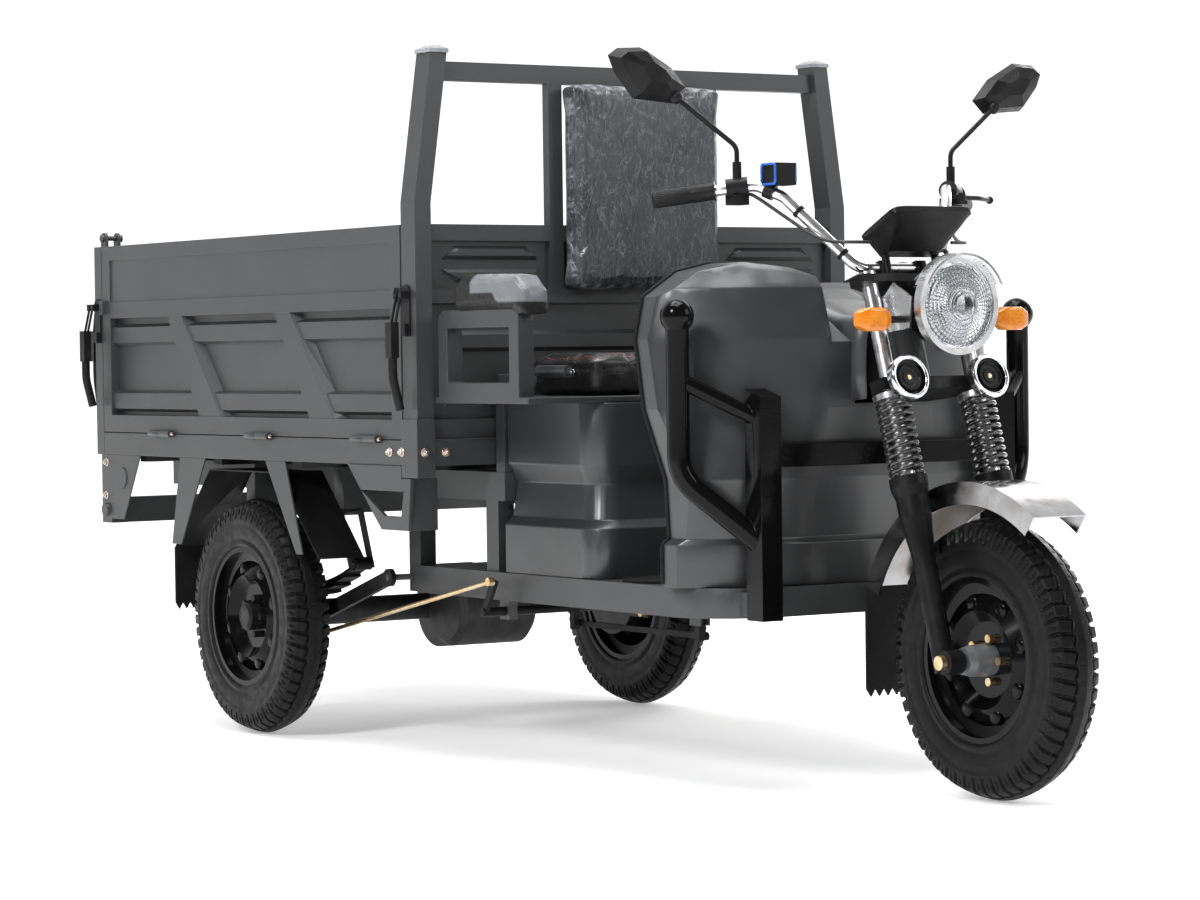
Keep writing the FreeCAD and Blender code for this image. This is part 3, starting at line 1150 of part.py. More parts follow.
# Seat box, battery, seat frame with armrests, cushions
seat_sizes = {
    "box_rear_ahead": 113, "box_corner": 55, "box_wall": 4, "platform_low": 771, "platform_high": 784,
    "platform_front_ahead": 448, "platform_rear_ahead": 74, "platform_half": 530, "support_long": 34,
    "arm_tube": 38, "arm_rear_ahead": 88, "arm_front_ahead": 413, "arm_top": 968, "arm_bend": 26,
    "arm_foot": 31,
    "pad_rear_ahead": 178, "pad_front_ahead": 456, "pad_top": 1040, "pad_droop": 954, "pad_round": 9,
    "pad_lip": 4,
    "pad_over": 15,
    "cushion_half": 340, "cushion_rear_ahead": 108, "cushion_front_ahead": 393, "cushion_tall": 84,
    "cushion_corner": 60,
    "back_half": 200, "back_low": 1012, "back_high": 1462, "back_thick": 62, "back_corner": 30,
    "hand_ahead": 198, "hand_y": 420, "hand_z": 815, "hand_pin": 6, "hand_half": 8, "hand_cheek": 5,
    "hand_base": 26, "hand_front_ahead": 440, "hand_lift": 22, "hand_radius": 13, "hand_boss": 17,
    "hand_nose": 8,
    "box_neck": 20, "box_belt_low": 510, "box_belt_high": 526, "box_waist": 600, "box_shelf": 640,
    "box_foot_half": 385, "box_foot_front_ahead": 473, "box_waist_half": 350, "box_waist_front_ahead": 433,
    "box_top_half": 375, "box_top_front_ahead": 453,
}
define(seat_sizes)
from_bed_front("box_rear", "platform_front", "platform_rear", "arm_rear", "arm_front", "pad_rear",
               "pad_front", "cushion_rear", "cushion_front", "hand_x", "hand_front", "box_foot_front",
               "box_waist_front", "box_top_front")


def box_ring(half, front, z, inset):
    """Plan of the seat box at one height: square at the back, round front corners."""
    rear = d.box_rear + inset
    half = half - inset
    front = front - inset
    return round_ring(rear, front, half, d.box_corner - inset, z)


def round_ring(rear, front, half, corner, z):
    bulge = corner * (1 - math.sqrt(0.5))
    at = [(rear, -half), (front - corner, -half), (front - bulge, bulge - half), (front, corner - half),
          (front, half - corner), (front - bulge, half - bulge), (front - corner, half), (rear, half)]
    at = [vec((x, y, z)) for x, y in at]
    edges = [Part.LineSegment(at[0], at[1]), Part.Arc(at[1], at[2], at[3]), Part.LineSegment(at[3], at[4]),
             Part.Arc(at[4], at[5], at[6]), Part.LineSegment(at[6], at[7]), Part.LineSegment(at[7], at[0])]
    return Part.Wire([edge.toShape() for edge in edges])


def seat_box():
    """Moulded shell with a wide foot, a drawn-in waist and a straight top."""
    levels = [
        (d.box_foot_half, d.box_foot_front, d.floor_high), (d.box_foot_half, d.box_foot_front,
                                        d.box_belt_low),
        (d.box_foot_half - d.box_neck, d.box_foot_front - d.box_neck, d.box_belt_high),
        (d.box_waist_half, d.box_waist_front, d.box_waist), (d.box_top_half, d.box_top_front, d.box_shelf),
        (d.box_top_half, d.box_top_front, d.platform_low)]
    outer = loft([box_ring(half, front, z, as_size(0)) for half, front, z in levels])
    ends = {0: -d.overrun, len(levels) - 1: d.overrun}
    inner = loft([box_ring(half, front, z + ends.get(i, 0), d.box_wall)
                  for i, (half, front, z) in enumerate(levels)])
    return cut(outer, inner)


def arm_loop():
    """Closed armrest frame of square tube, on the right."""
    y = d.arm_tube / 2 - d.platform_half
    b = d.arm_bend
    t = d.arm_tube
    outer = plate("XZ", [
        (d.arm_rear, d.platform_high), (d.arm_front, d.platform_high), (d.arm_front, d.arm_top - b),
        (d.arm_front - b, d.arm_top, b), (d.arm_rear + b, d.arm_top), (d.arm_rear, d.arm_top - b, b)],
        t, (0, y, 0))
    window = plate("XZ", [
        (d.arm_rear + t, d.platform_high + d.arm_foot), (d.arm_front - t, d.platform_high + d.arm_foot),
        (d.arm_front - t, d.arm_top - t), (d.arm_rear + t, d.arm_top - t)], 2 * t, (0, y, 0))
    return cut(outer, window)


def seat_frame():
    """Seat platform on its two supports, with the armrest frames."""
    parts = [block(d.platform_rear, d.platform_front, -d.platform_half, d.platform_half, d.platform_low,
                   d.platform_high)]
    for s in (-1, 1):
        y0 = s * d.beam_y - d.beam_wide / 2
        parts.append(block(d.platform_rear, d.platform_rear + d.support_long, y0, y0 + d.beam_wide,
                           d.beam_high,
                           d.platform_low))
    half = d.hand_half + d.play
    for y in (-d.hand_y - half - d.hand_cheek, half - d.hand_y):
        parts.append(block(d.hand_x - d.hand_base, d.hand_x + d.hand_base, y, y + d.hand_cheek,
                           d.platform_high,
                           d.hand_z + d.hand_boss))
    parts.append(cyl("Y", d.hand_pin, (d.hand_x, -d.hand_y - half - d.hand_cheek, d.hand_z),
                     2 * (half + d.hand_cheek)))
    loop = arm_loop()
    return fuse(*parts, loop, mirrored(loop))


def parking_lever():
    boss = cyl("Y", d.hand_boss, (d.hand_x, -d.hand_y - d.hand_half, d.hand_z), 2 * d.hand_half)
    bore = cyl("Y", d.hand_pin + d.running_play, (d.hand_x, -d.hand_y - 2 * d.hand_half, d.hand_z),
               4 * d.hand_half)
    nose = d.hand_z + d.hand_lift
    bar = block(d.hand_x, d.hand_front - 2 * d.cushion_corner, -d.hand_y - d.hand_half,
                d.hand_half - d.hand_y,
                d.hand_z, d.hand_z + d.hand_lift)
    grip = cyl("X", d.hand_radius, (d.hand_front - 2 * d.cushion_corner - d.overrun, -d.hand_y, nose),
               2 * d.cushion_corner)
    button = cyl("X", d.hand_nose, (d.hand_front - d.overrun, -d.hand_y, nose), d.hand_nose)
    return cut(fuse(boss, bar, grip, button), bore)


def arm_pad():
    """Moulded pad over the armrest, with rounded flanks and a drooping nose."""
    low = d.arm_top
    nose = d.arm_front + d.pad_lip
    outline = [(d.pad_rear, low), (nose, low), (nose + d.pad_lip, d.pad_droop), (d.pad_front,
                                        d.pad_droop + d.pad_lip),
               (d.pad_front - d.pad_lip, low + d.arm_tube), (d.pad_front - d.arm_tube,
                                        d.pad_top - d.pad_lip),
               (d.pad_rear + d.arm_bend, d.pad_top), (d.pad_rear, d.pad_top - d.arm_bend)]
    middle_x = (d.pad_rear + d.pad_front) / 2
    middle_z = (low + d.pad_top) / 2
    keep_x = 1 - 2 * d.pad_round / (d.pad_front - d.pad_rear)
    keep_z = 1 - 2 * d.pad_round / (d.pad_top - low)
    outer = -d.platform_half - d.pad_over
    inner = d.arm_tube + d.pad_over - d.platform_half
    wires = []
    for y, small in ((outer, True), (outer + d.pad_round, False), (inner - d.pad_round, False), (inner,
                                        True)):
        points = [(middle_x + (x - middle_x) * keep_x, y,
                   middle_z + (z - middle_z) * keep_z) if small else (x, y, z)
                  for x, z in outline]
        wires.append(polygon(points))
    return loft(wires)


cushion_shares = [(0, 0.16), (0.12, 0.04), (0.4, 0), (0.7, 0.05), (0.9, 0.22), (1, 0.62)]
back_shares = [(0, 0.12), (0.15, 0.02), (0.4, 0), (0.75, 0.06), (0.93, 0.2), (1, 0.5)]


def full_ring(x0, x1, y0, y1, corner):
    """Rounded rectangle in plan, as lines and quarter arcs."""
    bulge = corner * (1 - math.sqrt(0.5))
    at = [(x0 + corner, y0), (x1 - corner, y0), (x1 - bulge, y0 + bulge), (x1, y0 + corner), (x1,
                                        y1 - corner),
          (x1 - bulge, y1 - bulge), (x1 - corner, y1), (x0 + corner, y1), (x0 + bulge, y1 - bulge),
          (x0, y1 - corner), (x0, y0 + corner), (x0 + bulge, y0 + bulge)]
    at = [vec((x, y, 0)) for x, y in at]
    edges = []
    for i in (0, 3, 6, 9):
        edges.append(Part.LineSegment(at[i], at[i + 1]).toShape())
        edges.append(Part.Arc(at[i + 1], at[i + 2], at[(i + 3) % 12]).toShape())
    return Part.Wire(edges)


def crowned(length, half, tall, corner, draw_in, shares):
    """Cushion whose sides swell out from the foot and draw in to a crowned top, in plan about its middle."""
    wires = []
    for up_share, in_share in shares:
        inset = draw_in * in_share
        ring = full_ring(inset - length / 2, length / 2 - inset, inset - half, half - inset, corner)
        ring.translate(vec((0, 0, tall * up_share)))
        wires.append(ring)
    return Part.makeLoft(wires, True, False)


def seat_cushion():
    length = d.cushion_front - d.cushion_rear
    form = shape(crowned(length, d.cushion_half, d.cushion_tall, d.cushion_corner, d.cushion_corner,
                         cushion_shares))
    return put(form, ((d.cushion_front + d.cushion_rear) / 2, 0, d.platform_high))


def seat_back():
    """The back pad lies on the headboard's uprights, so its crown faces forwards."""
    form = shape(crowned(d.back_high - d.back_low, d.back_half, d.back_thick, d.back_corner, d.back_corner,
                         back_shares))
    form.Placement = FreeCAD.Placement(FreeCAD.Vector(), FreeCAD.Rotation(Y_AXIS, 90))
    return put(form, (d.slim_front, 0, (d.back_high + d.back_low) / 2))


node("seat_box", seat_box())
node("seat_frame", seat_frame())
node("seat_cushion", seat_cushion())
node("seat_back", seat_back())
node("armrest_pads", both(arm_pad()))
node("parking_brake_lever", parking_lever())

# Leg shield: one moulded shell with a centre valley
shield_sizes = {
    "shield_wall": 4, "shield_low": 405, "valley_half": 120, "valley_setback": 540, "valley_z": 1012,
    "valley_nose_setback": 340, "valley_nose_z": 884, "neck_gap_half": 64, "neck_gap_setback": 480,
    "neck_gap_z": 768,
    "shield_top_far": 1100,
}
define(shield_sizes)
from_front_axle("valley_x", "valley_nose_x", "neck_gap_x")
bulge_share = 0.11
shield_rings = {
    "foot": (405, 540, 405, 490, 150, 390), "belt": (490, 540, 405, 490, 150, 385),
    "neck": (502, 540, 388, 480, 150, 395), "knee": (620, 540, 395, 455, 150, 360),
    "chest": (760, 578, 420, 530, 130, 350), "arm": (900, 598, 425, 555, 130, 350),
    "brow": (1000, 600, 402, 550, 130, 380), "crest": (1060, 590, 345, 560, 130, 440),
}
ring_words = ("z", "rear_setback", "half", "side_setback", "nose_half", "front_setback")
for ring_name, row in shield_rings.items():
    define({f"ring_{ring_name}_{word}": value for word, value in zip(ring_words, row)})
shield_outline = {"a": (430, 930), "b": (410, 982), "c": (330, 1035), "d": (250, 1052), "e": (165, 1040),
                  "f": (100, 1012)}
for letter, (y, z) in shield_outline.items():
    define({f"outline_y_{letter}": y, f"outline_z_{letter}": z})


def shield_ring(name, inset, shift):
    z, rear, half, side, nose_half, front = [getattr(d, f"ring_{name}_{word}") for word in ring_words]
    rear = d.wheelbase - rear + inset
    half = half - inset
    side = d.wheelbase - side
    front = d.wheelbase - front - inset
    a = vec((side, -half, z + shift))
    b = vec((front, -nose_half, z + shift))
    chord = b - a
    bow = (a + b) / 2 + FreeCAD.Vector(chord.y, -chord.x, 0) * bulge_share
    flip = [FreeCAD.Vector(p.x, -p.y, p.z) for p in (b, bow, a)]
    first = vec((rear, -half, z + shift))
    last = vec((rear, half, z + shift))
    edges = [Part.LineSegment(first, a), Part.Arc(a, bow, b), Part.LineSegment(b, flip[0]), Part.Arc(*flip),
             Part.LineSegment(flip[2], last), Part.LineSegment(last, first)]
    return Part.Wire([edge.toShape() for edge in edges])


def shield_top(drop):
    """Everything below the shoulder line, and the wedge that makes the valley."""
    low = d.shield_low - d.overrun - drop
    far = d.shield_top_far / 2
    edge = d.outline_z_a - drop
    left = [(getattr(d, f"outline_y_{c}"), getattr(d, f"outline_z_{c}") - drop) for c in "abcdef"]
    right = [(-y, z) for y, z in reversed(left)]
    outline = [(-far, low), (far, low), (far, edge)] + left + right + [(-far, edge)]
    keep = plate("YZ", outline, d.shield_top_far, (d.upright_x, 0, 0))
    wedge = plate("XZ", [
        (d.valley_x - drop, d.valley_z - drop), (d.valley_nose_x, d.valley_nose_z - drop),
        (d.valley_nose_x + d.overrun, d.shield_top_far), (d.valley_x - drop, d.shield_top_far)],
        2 * (d.valley_half + drop), (0, 0, 0))
    return keep, wedge


def leg_shield():
    names = list(shield_rings)
    outer = loft([shield_ring(name, as_size(0), 0) for name in names])
    inner = loft([shield_ring(name, d.shield_wall, -d.overrun if name == "foot" else 0) for name in names])
    keep, wedge = shield_top(as_size(0))
    keep_in, wedge_in = shield_top(d.shield_wall)
    skin = cut(common(outer, keep), wedge)
    core = cut(common(inner, keep_in), wedge_in)
    gap = block(d.neck_gap_x, d.valley_nose_x, -d.neck_gap_half, d.neck_gap_half, d.neck_gap_z,
                d.shield_top_far)
    return cut(skin, core, gap)


node("leg_shield", leg_shield())

# Crash guard: two posts, a cross tube, and a bow with a ball on each side
guard_sizes = {
    "guard_deep": 55, "bumper_low": 343, "bumper_high": 800, "guard_slope": 15, "cross_low": 645,
    "cross_high": 690,
    "cross_set": 27, "bow_setback": 441, "bow_y": 431, "bow_top": 944, "bow_knee": 628, "bow_radius": 23,
    "bow_bend": 90, "bow_foot": 490, "knob_radius": 34, "strut_radius": 16, "strut_high": 820,
    "strut_low": 735,
}
define(guard_sizes)
from_front_axle("bow_x")


def crash_side():
    front = d.guard_x + d.guard_deep
    post = plate("XZ", [(d.guard_x, d.bumper_low), (front, d.bumper_low), (front,
                                        d.bumper_high - d.guard_slope),
                        (d.guard_x, d.bumper_high)], d.guard_wide, (0, -d.guard_y, 0))
    meet = (d.guard_x + d.guard_deep / 2, -d.guard_y)
    bow = pipe([(d.bow_x, -d.bow_y, d.bow_top), (d.bow_x, -d.bow_y, d.bow_knee), (*meet, d.bow_foot)],
               d.bow_radius, d.bow_bend)
    strut = pipe([(d.bow_x, -d.bow_y, d.strut_high), (*meet, d.strut_low)], d.strut_radius, d.strut_radius)
    knob = ball(d.knob_radius, (d.bow_x, -d.bow_y, d.bow_top))
    return fuse(post, bow, strut, knob)


guard_side = crash_side()
cross = block(d.guard_x + d.cross_set, d.guard_x + d.guard_deep,
              d.guard_wide / 2 - d.guard_y, d.guard_y - d.guard_wide / 2, d.cross_low, d.cross_high)
node("crash_guard", fuse(guard_side, mirrored(guard_side), cross))

# Steering: stem with yokes, fork tubes, springs and sliders, drawn on the upright steering axis
fork_sizes = {
    "fork_x": 45, "fork_y": 106, "fork_radius": 16, "fork_low": 380, "fork_high": 255, "yoke_low": 10,
    "yoke_thick": 24, "crown_low": 230, "crown_thick": 16, "yoke_back": 30, "yoke_front": 68,
    "yoke_half": 136,
    "yoke_waist": 40, "yoke_shoulder": 22, "bar_setback": 283, "bar_z": 1034, "bar_radius": 11,
    "riser_y": 45,
    "riser_half": 13, "riser_over": 13, "stalk_x": 56, "stalk_y": 62, "stalk_radius": 8, "dial_low": 288,
    "spring_top": 8, "spring_long": 157, "spring_wire": 4.5, "spring_mean": 31.5, "spring_turn_count": 10,
    "closed_gap": 1, "seat_radius": 38, "seat_tall": 12, "slider_top": 165, "collar_tall": 20,
    "slider_shoulder": 32, "slider_waist": 22, "slider_bottom": 552, "slider_bore": 445, "lug_radius": 24,
    "lug_half": 18, "spindle_radius": 8, "spindle_half": 138, "nut_half": 14, "spindle_nut": 13,
}
define(fork_sizes)
from_front_axle("bar_x")
bar_fore = (d.bar_x - d.head_x) * cosd(d.rake_angle) + (d.bar_z - d.head_z) * sind(d.rake_angle)
bar_up = (d.bar_z - d.head_z) * cosd(d.rake_angle) - (d.bar_x - d.head_x) * sind(d.rake_angle)


def yoke(low, thick):
    """Triple clamp with a bore for each fork tube."""
    outline = [(-d.yoke_back, -d.yoke_waist), (d.yoke_shoulder, -d.yoke_half), (d.yoke_front, -d.yoke_half),
               (d.yoke_front, d.yoke_half), (d.yoke_shoulder, d.yoke_half), (-d.yoke_back, d.yoke_waist)]
    flat = plate("XY", outline, thick, (0, 0, low + thick / 2))
    bores = [cyl("Z", d.fork_radius + d.running_play, (d.fork_x, s * d.fork_y, low - d.overrun),
                 thick + 2 * d.overrun) for s in (-1, 1)]
    return cut(flat, *bores)


def steering_stem():
    crown_top = d.crown_low + d.crown_thick
    parts = [yoke(d.yoke_low, d.yoke_thick), yoke(d.crown_low, d.crown_thick),
             cyl("Z", d.stem_radius, (0, 0, d.yoke_low), crown_top - d.yoke_low)]
    for s in (-1, 1):
        y = s * d.riser_y
        riser = block(bar_fore - d.riser_half, bar_fore + d.riser_half, y - d.riser_half, y + d.riser_half,
                      crown_top, bar_up + d.riser_over)
        bore = cyl("Y", d.bar_radius + d.running_play, (bar_fore, y - 2 * d.riser_half, bar_up),
                   4 * d.riser_half)
        parts.append(cut(riser, bore))
        parts.append(cyl("Z", d.stalk_radius, (d.stalk_x, s * d.stalk_y, crown_top), d.dial_low - crown_top))
    return fuse(*parts)


def fork_tube(s):
    tube = cyl("Z", d.fork_radius, (d.fork_x, s * d.fork_y, -d.fork_low), d.fork_low + d.fork_high)
    seat = cyl("Z", d.seat_radius, (d.fork_x, s * d.fork_y, -d.spring_top), d.seat_tall)
    return fuse(tube, seat)


def coil_spring():
    """One unbroken wire: a helix of quarter-turn biarcs whose end coils lie almost closed."""
    mean = float(d.spring_mean)
    wire = float(d.spring_wire)
    turns = int(d.spring_turn_count.value)
    closed = 2 * wire + float(d.closed_gap)
    rise = float(d.spring_long) - 2 * wire
    quarters = 4 * turns
    eased = [min(i / 4, turns - i / 4, 1) for i in range(quarters + 1)]
    share = sum(eased) - (eased[0] + eased[-1]) / 2
    pitch = closed + (rise - closed * turns) * 4 / share
    pitches = [closed + (pitch - closed) * e for e in eased]
    z = -float(d.spring_top) - float(d.spring_long) + wire
    knots = []
    for i, slope in enumerate(pitches):
        if i:
            z += (slope + pitches[i - 1]) / 8
        turn = math.radians(90 * i)
        at = FreeCAD.Vector(mean * math.cos(turn), mean * math.sin(turn), z)
        along = FreeCAD.Vector(-math.sin(turn), math.cos(turn), slope / (2 * math.pi * mean)).normalize()
        knots.append((at, along))
    edges = []
    for (p, t), (q, u) in zip(knots, knots[1:]):
        gap = q - p
        both_ways = t + u
        turn = 2 * (1 - t.dot(u))
        reach = (-gap.dot(both_ways) + math.sqrt(gap.dot(both_ways) ** 2 + turn * gap.dot(gap))) / turn
        corners = (p + t * reach, q - u * reach)
        joint = (corners[0] + corners[1]) / 2
        for start, corner, stop in ((p, corners[0], joint), (joint, corners[1], q)):
            back = (start - corner).normalize()
            ahead = (stop - corner).normalize()
            half = back.getAngle(ahead) / 2
            bend = reach * math.tan(half)
            middle = corner + (back + ahead).normalize() * (bend / math.sin(half) - bend)
            edges.append(Part.Arc(start, middle, stop).toShape())
    path = Part.Wire(edges)
    ring = Part.Circle(knots[0][0], knots[0][1], wire)
    print("spring: closest coils", round(min(pitches) - 2 * wire, 2), "apart")
    return path.makePipeShell([Part.Wire(ring.toShape())], True, False)


def slider(s):
    """Lower fork leg: collar for the spring, tapered body, lug for the wheel spindle."""
    bottom = -d.slider_bottom
    leg = turned("Z", [
        (-d.slider_top, d.fork_radius + d.running_play), (-d.slider_top, d.seat_radius),
        (-d.slider_top - d.collar_tall, d.seat_radius), (-d.slider_top - 2 * d.collar_tall,
                                        d.slider_shoulder),
        (-d.slider_top - 4 * d.collar_tall, d.slider_shoulder), (-d.slider_top - 8 * d.collar_tall,
                                        d.slider_waist),
        (bottom, d.slider_waist), (bottom, 0), (-d.slider_bore, 0), (-d.slider_bore,
                                        d.fork_radius + d.running_play)],
        (d.fork_x, s * d.fork_y, 0))
    lug = cyl("Y", d.lug_radius, (axle_fore, s * d.fork_y - d.lug_half, axle_drop), 2 * d.lug_half)
    return fuse(leg, lug)


def guard_bracket(s):
    """Short arm from the leg to the skirt of the front mudguard."""
    y0 = s * d.front_guard_half
    y1 = s * (d.fork_y - d.slider_waist)
    x = d.fork_x
    z = axle_drop + d.front_guard_radius - d.front_skirt
    return block(x - d.fork_radius, x + d.fork_radius, min(y0, y1, key=float), max(y0, y1, key=float),
                 z - d.fork_radius, z)


def fork_sliders():
    parts = [slider(-1), slider(1), guard_bracket(-1), guard_bracket(1),
             cyl("Y", d.spindle_radius, (axle_fore, -d.spindle_half, axle_drop), 2 * d.spindle_half)]
    for y in (-d.spindle_half, d.spindle_half - d.spindle_nut):
        parts.append(cyl("Y", d.nut_half, (axle_fore, y, axle_drop), d.spindle_nut))
    return fuse(*parts)


# Front mudguard with its flap, front wheel
front_wheel_sizes = {
    "front_guard_radius": 345, "front_guard_half": 65, "front_guard_thick": 3, "front_skirt": 22,
    "guard_nose_angle": 55, "guard_tail_angle": 158, "front_flap_low": 180, "front_flap_thick": 5,
    "front_hub": 33, "front_hub_half": 78, "front_flange": 62, "front_flange_thick": 6,
    "hub_bead": 26, "hub_step": 30,
}
define(front_wheel_sizes)


def arc_band(inner, outer, thick, y):
    """Curved strip about the front spindle from the nose angle to the tail angle."""
    middle = (d.guard_nose_angle + d.guard_tail_angle) / 2
    angles = (d.guard_tail_angle, middle, d.guard_nose_angle)
    points = []
    for i, a in enumerate(angles):
        at = (d.wheelbase + outer * cosd(a), axle_z + outer * sind(a))
        points.append(at if i == 0 else (*at, -outer))
    for i, a in enumerate(reversed(angles)):
        at = (d.wheelbase + inner * cosd(a), axle_z + inner * sind(a))
        points.append(at if i == 0 else (*at, inner))
    return plate("XZ", points, thick, (0, y, 0))


def front_mudguard():
    out = d.front_guard_radius
    parts = [arc_band(out - d.front_guard_thick, out, 2 * d.front_guard_half, as_size(0))]
    for s in (-1, 1):
        parts.append(arc_band(out - 2 * d.front_skirt, out, d.front_guard_thick,
                              s * (d.front_guard_half - d.front_guard_thick / 2)))
    return fuse(*parts)


def front_flap():
    """Rubber sheet that hangs from the tail of the mudguard, with a saw-tooth foot."""
    half = d.front_guard_half
    top_x = d.wheelbase + d.front_guard_radius * cosd(d.guard_tail_angle) - d.front_flap_thick
    top_z = axle_z + d.front_guard_radius * sind(d.guard_tail_angle)
    step = 2 * half / d.flap_tooth_count
    outline = [(-half, 0)]
    low = d.front_flap_low - top_z
    for i in range(int(d.flap_tooth_count.value)):
        outline.append((i * step - half, low + d.flap_tooth))
        outline.append((i * step + step / 2 - half, low))
    outline += [(half, low + d.flap_tooth), (half, 0)]
    return plate("YZ", outline, d.front_flap_thick, (top_x + d.front_flap_thick / 2, 0, top_z))


def front_hub():
    hub = turned("Y", [
        (-d.front_hub_half, d.spindle_radius + d.running_play), (-d.front_hub_half, d.hub_bead),
        (-d.front_flange, d.hub_step), (-d.disc_set, d.front_hub), (d.rim_wall - d.disc_set, d.front_hub),
        (d.rim_wall - d.disc_set, d.front_flange), (d.rim_wall + d.front_flange_thick - d.disc_set,
                                        d.front_flange),
        (d.rim_wall + d.front_flange_thick - d.disc_set, d.front_hub), (d.front_flange, d.hub_step),
        (d.front_hub_half, d.hub_bead), (d.front_hub_half, d.spindle_radius + d.running_play)], (0, 0, 0))
    return group(hub, *nut_ring(-d.disc_set, -1))


front_centre = (d.wheelbase, 0, axle_z)
steered_node("steering_stem", steering_stem())
steered_node("fork_tubes", fork_tube(-1), fork_tube(1))
coil = coil_spring()
springs = []
for s in (-1, 1):
    springs.append(put(shape(coil), (d.fork_x, s * d.fork_y, 0)))
steered_node("fork_springs", *springs)
steered_node("fork_sliders", fork_sliders())
node("front_mudguard", front_mudguard())
node("front_flap", front_flap())
node("front_tyre", placed(tyre, front_centre))
node("front_rim", placed(rim_form(-1), front_centre))
node("front_hub", placed(front_hub(), front_centre))

# Handlebar, grips, switch pods, cables and mirrors
bar_sizes = {
    "grip_setback": 565, "grip_y": 395, "grip_z": 1178, "elbow_setback": 475, "elbow_y": 295,
    "elbow_z": 1195,
    "crook_setback": 435, "crook_y": 240, "crook_z": 1203, "rise_setback": 390, "rise_y": 205,
    "rise_z": 1178,
    "bar_flat": 105, "bar_bend": 40, "grip_radius": 16, "grip_start": 14, "grip_over": 5, "pod_radius": 20,
    "pod_start": 8, "pod_stop": 52, "pod_block": 17, "pod_drop": 34, "boss_radius": 9, "boss_top": 1232,
    "mirror_pin": 4, "mirror_collar": 18, "horn_box_setback": 424, "horn_box_y": 236, "horn_box_z": 1202,
    "horn_box_long": 50, "horn_box_tall": 44, "lever_setback": 414, "lever_y": 262, "lever_low": 1170,
    "lever_plate": 8, "lever_half": 10, "lever_pin": 4, "lever_tall": 12, "lever_radius": 5, "lever_tip": 8,
    "lever_mid_setback": 428, "lever_mid_y": 322, "lever_end_setback": 455, "lever_end_y": 372,
    "lever_end_z": 1182,
    "cable_radius": 3.5, "cable_off": 15.5, "cable_bend": 8, "cable_lead": 6, "cable_rise_setback": 400,
    "cable_rise_y": 214,
    "cable_rise_z": 1150, "cable_turn_setback": 318, "cable_turn_y": 168, "cable_turn_z": 1088,
    "cable_end_setback": 244,
    "cable_end_y": 150, "cable_end_z": 1085, "dial_half": 100,
    "stem_thin": 5, "stem_up": 30, "stem_bend": 24, "stem_end_setback": 483, "stem_end_y": 424,
    "stem_end_z": 1397,
    "mirror_setback": 505, "mirror_y": 456, "mirror_z": 1423, "mirror_deep": 45, "mirror_ball": 13,
    "joint_setback": 476, "joint_y": 402, "joint_z": 1376,
}
define(bar_sizes)
from_front_axle("grip_x", "elbow_x", "crook_x", "rise_x", "horn_box_x", "lever_x", "lever_mid_x",
                "lever_end_x", "cable_rise_x", "cable_turn_x", "cable_end_x", "stem_end_x", "mirror_x",
                "joint_x")
bar_right = [(d.grip_x, -d.grip_y, d.grip_z), (d.elbow_x, -d.elbow_y, d.elbow_z),
             (d.crook_x, -d.crook_y, d.crook_z), (d.rise_x, -d.rise_y, d.rise_z), (d.bar_x, -d.bar_flat,
                                        d.bar_z)]
bar_points = bar_right + [(x, -y, z) for x, y, z in reversed(bar_right)]
mirror_outline = {"a": (-92, 33), "b": (-70, 48), "c": (-16, 51), "d": (52, 14), "e": (93, -31),
                  "f": (64, -58), "g": (-35, -50), "h": (-78, 0)}
mirror_shares = [(0, 0.92), (0.14, 1), (0.62, 0.82), (1, 0.36)]
for letter, (y, z) in mirror_outline.items():
    define({f"glass_y_{letter}": y, f"glass_z_{letter}": z})


def along(a, b, distance):
    """The point at a distance from a on the way to b, and the direction."""
    a = vec(a)
    way = (vec(b) - a).normalize()
    return a + way * float(distance), way


def sleeve(a, b, start, stop, outer):
    base, way = along(a, b, start)
    return shape(Part.makeCylinder(float(outer), float(stop) - float(start), base, way))


bar_room = pipe(bar_points, d.bar_radius + d.running_play, d.bar_bend)
grip_run = math.dist(vec(bar_right[0]), vec(bar_right[1]))
pod_middle, pod_way = along(bar_right[1], bar_right[2], (d.pod_start + d.pod_stop) / 2)


def grip():
    return cut(sleeve(bar_right[1], bar_right[0], d.grip_start, grip_run + float(d.grip_over),
                      d.grip_radius),
               bar_room)


def pod():
    """Switch pod on the bar, with the mirror boss above it and the pin that the mirror turns on."""
    x, y, z = pod_middle
    off = d.bar_radius + d.overrun / 2
    body = cut(sleeve(bar_right[1], bar_right[2], d.pod_start, d.pod_stop, d.pod_radius), bar_room)
    low = block(x - d.pod_block, x + d.pod_block, y - d.pod_block, y + d.pod_block, z - d.pod_drop, z - off)
    post = cyl("Z", d.boss_radius, (x, y, z + off), d.boss_top - z - off)
    pin = cyl("Z", d.mirror_pin, (x, y, d.boss_top - d.overrun), d.mirror_collar + d.overrun - d.play)
    return fuse(body, low, post, pin)


def right_box():
    """Small switch box on a collar, inboard of the right pod."""
    collar = sleeve(bar_right[2], bar_right[3], d.pod_radius, 2 * d.pod_radius, d.grip_radius)
    box = block(d.horn_box_x, d.horn_box_x + d.horn_box_long, -d.horn_box_y, d.horn_box_long - d.horn_box_y,
                d.horn_box_z, d.horn_box_z + d.horn_box_tall)
    return cut(fuse(collar, box), bar_room)


def lever_shelf():
    """Shelf under the left pod with the pin of the brake lever."""
    shelf = block(d.elbow_x + d.pod_radius, d.lever_x + d.lever_half, d.lever_y - d.lever_half,
                  d.lever_y + d.lever_half, d.lever_low, d.lever_low + d.lever_plate)
    pin = cyl("Z", d.lever_pin, (d.lever_x, d.lever_y, d.lever_low),
              d.lever_plate + d.lever_tall + d.mirror_pin)
    return fuse(shelf, pin)


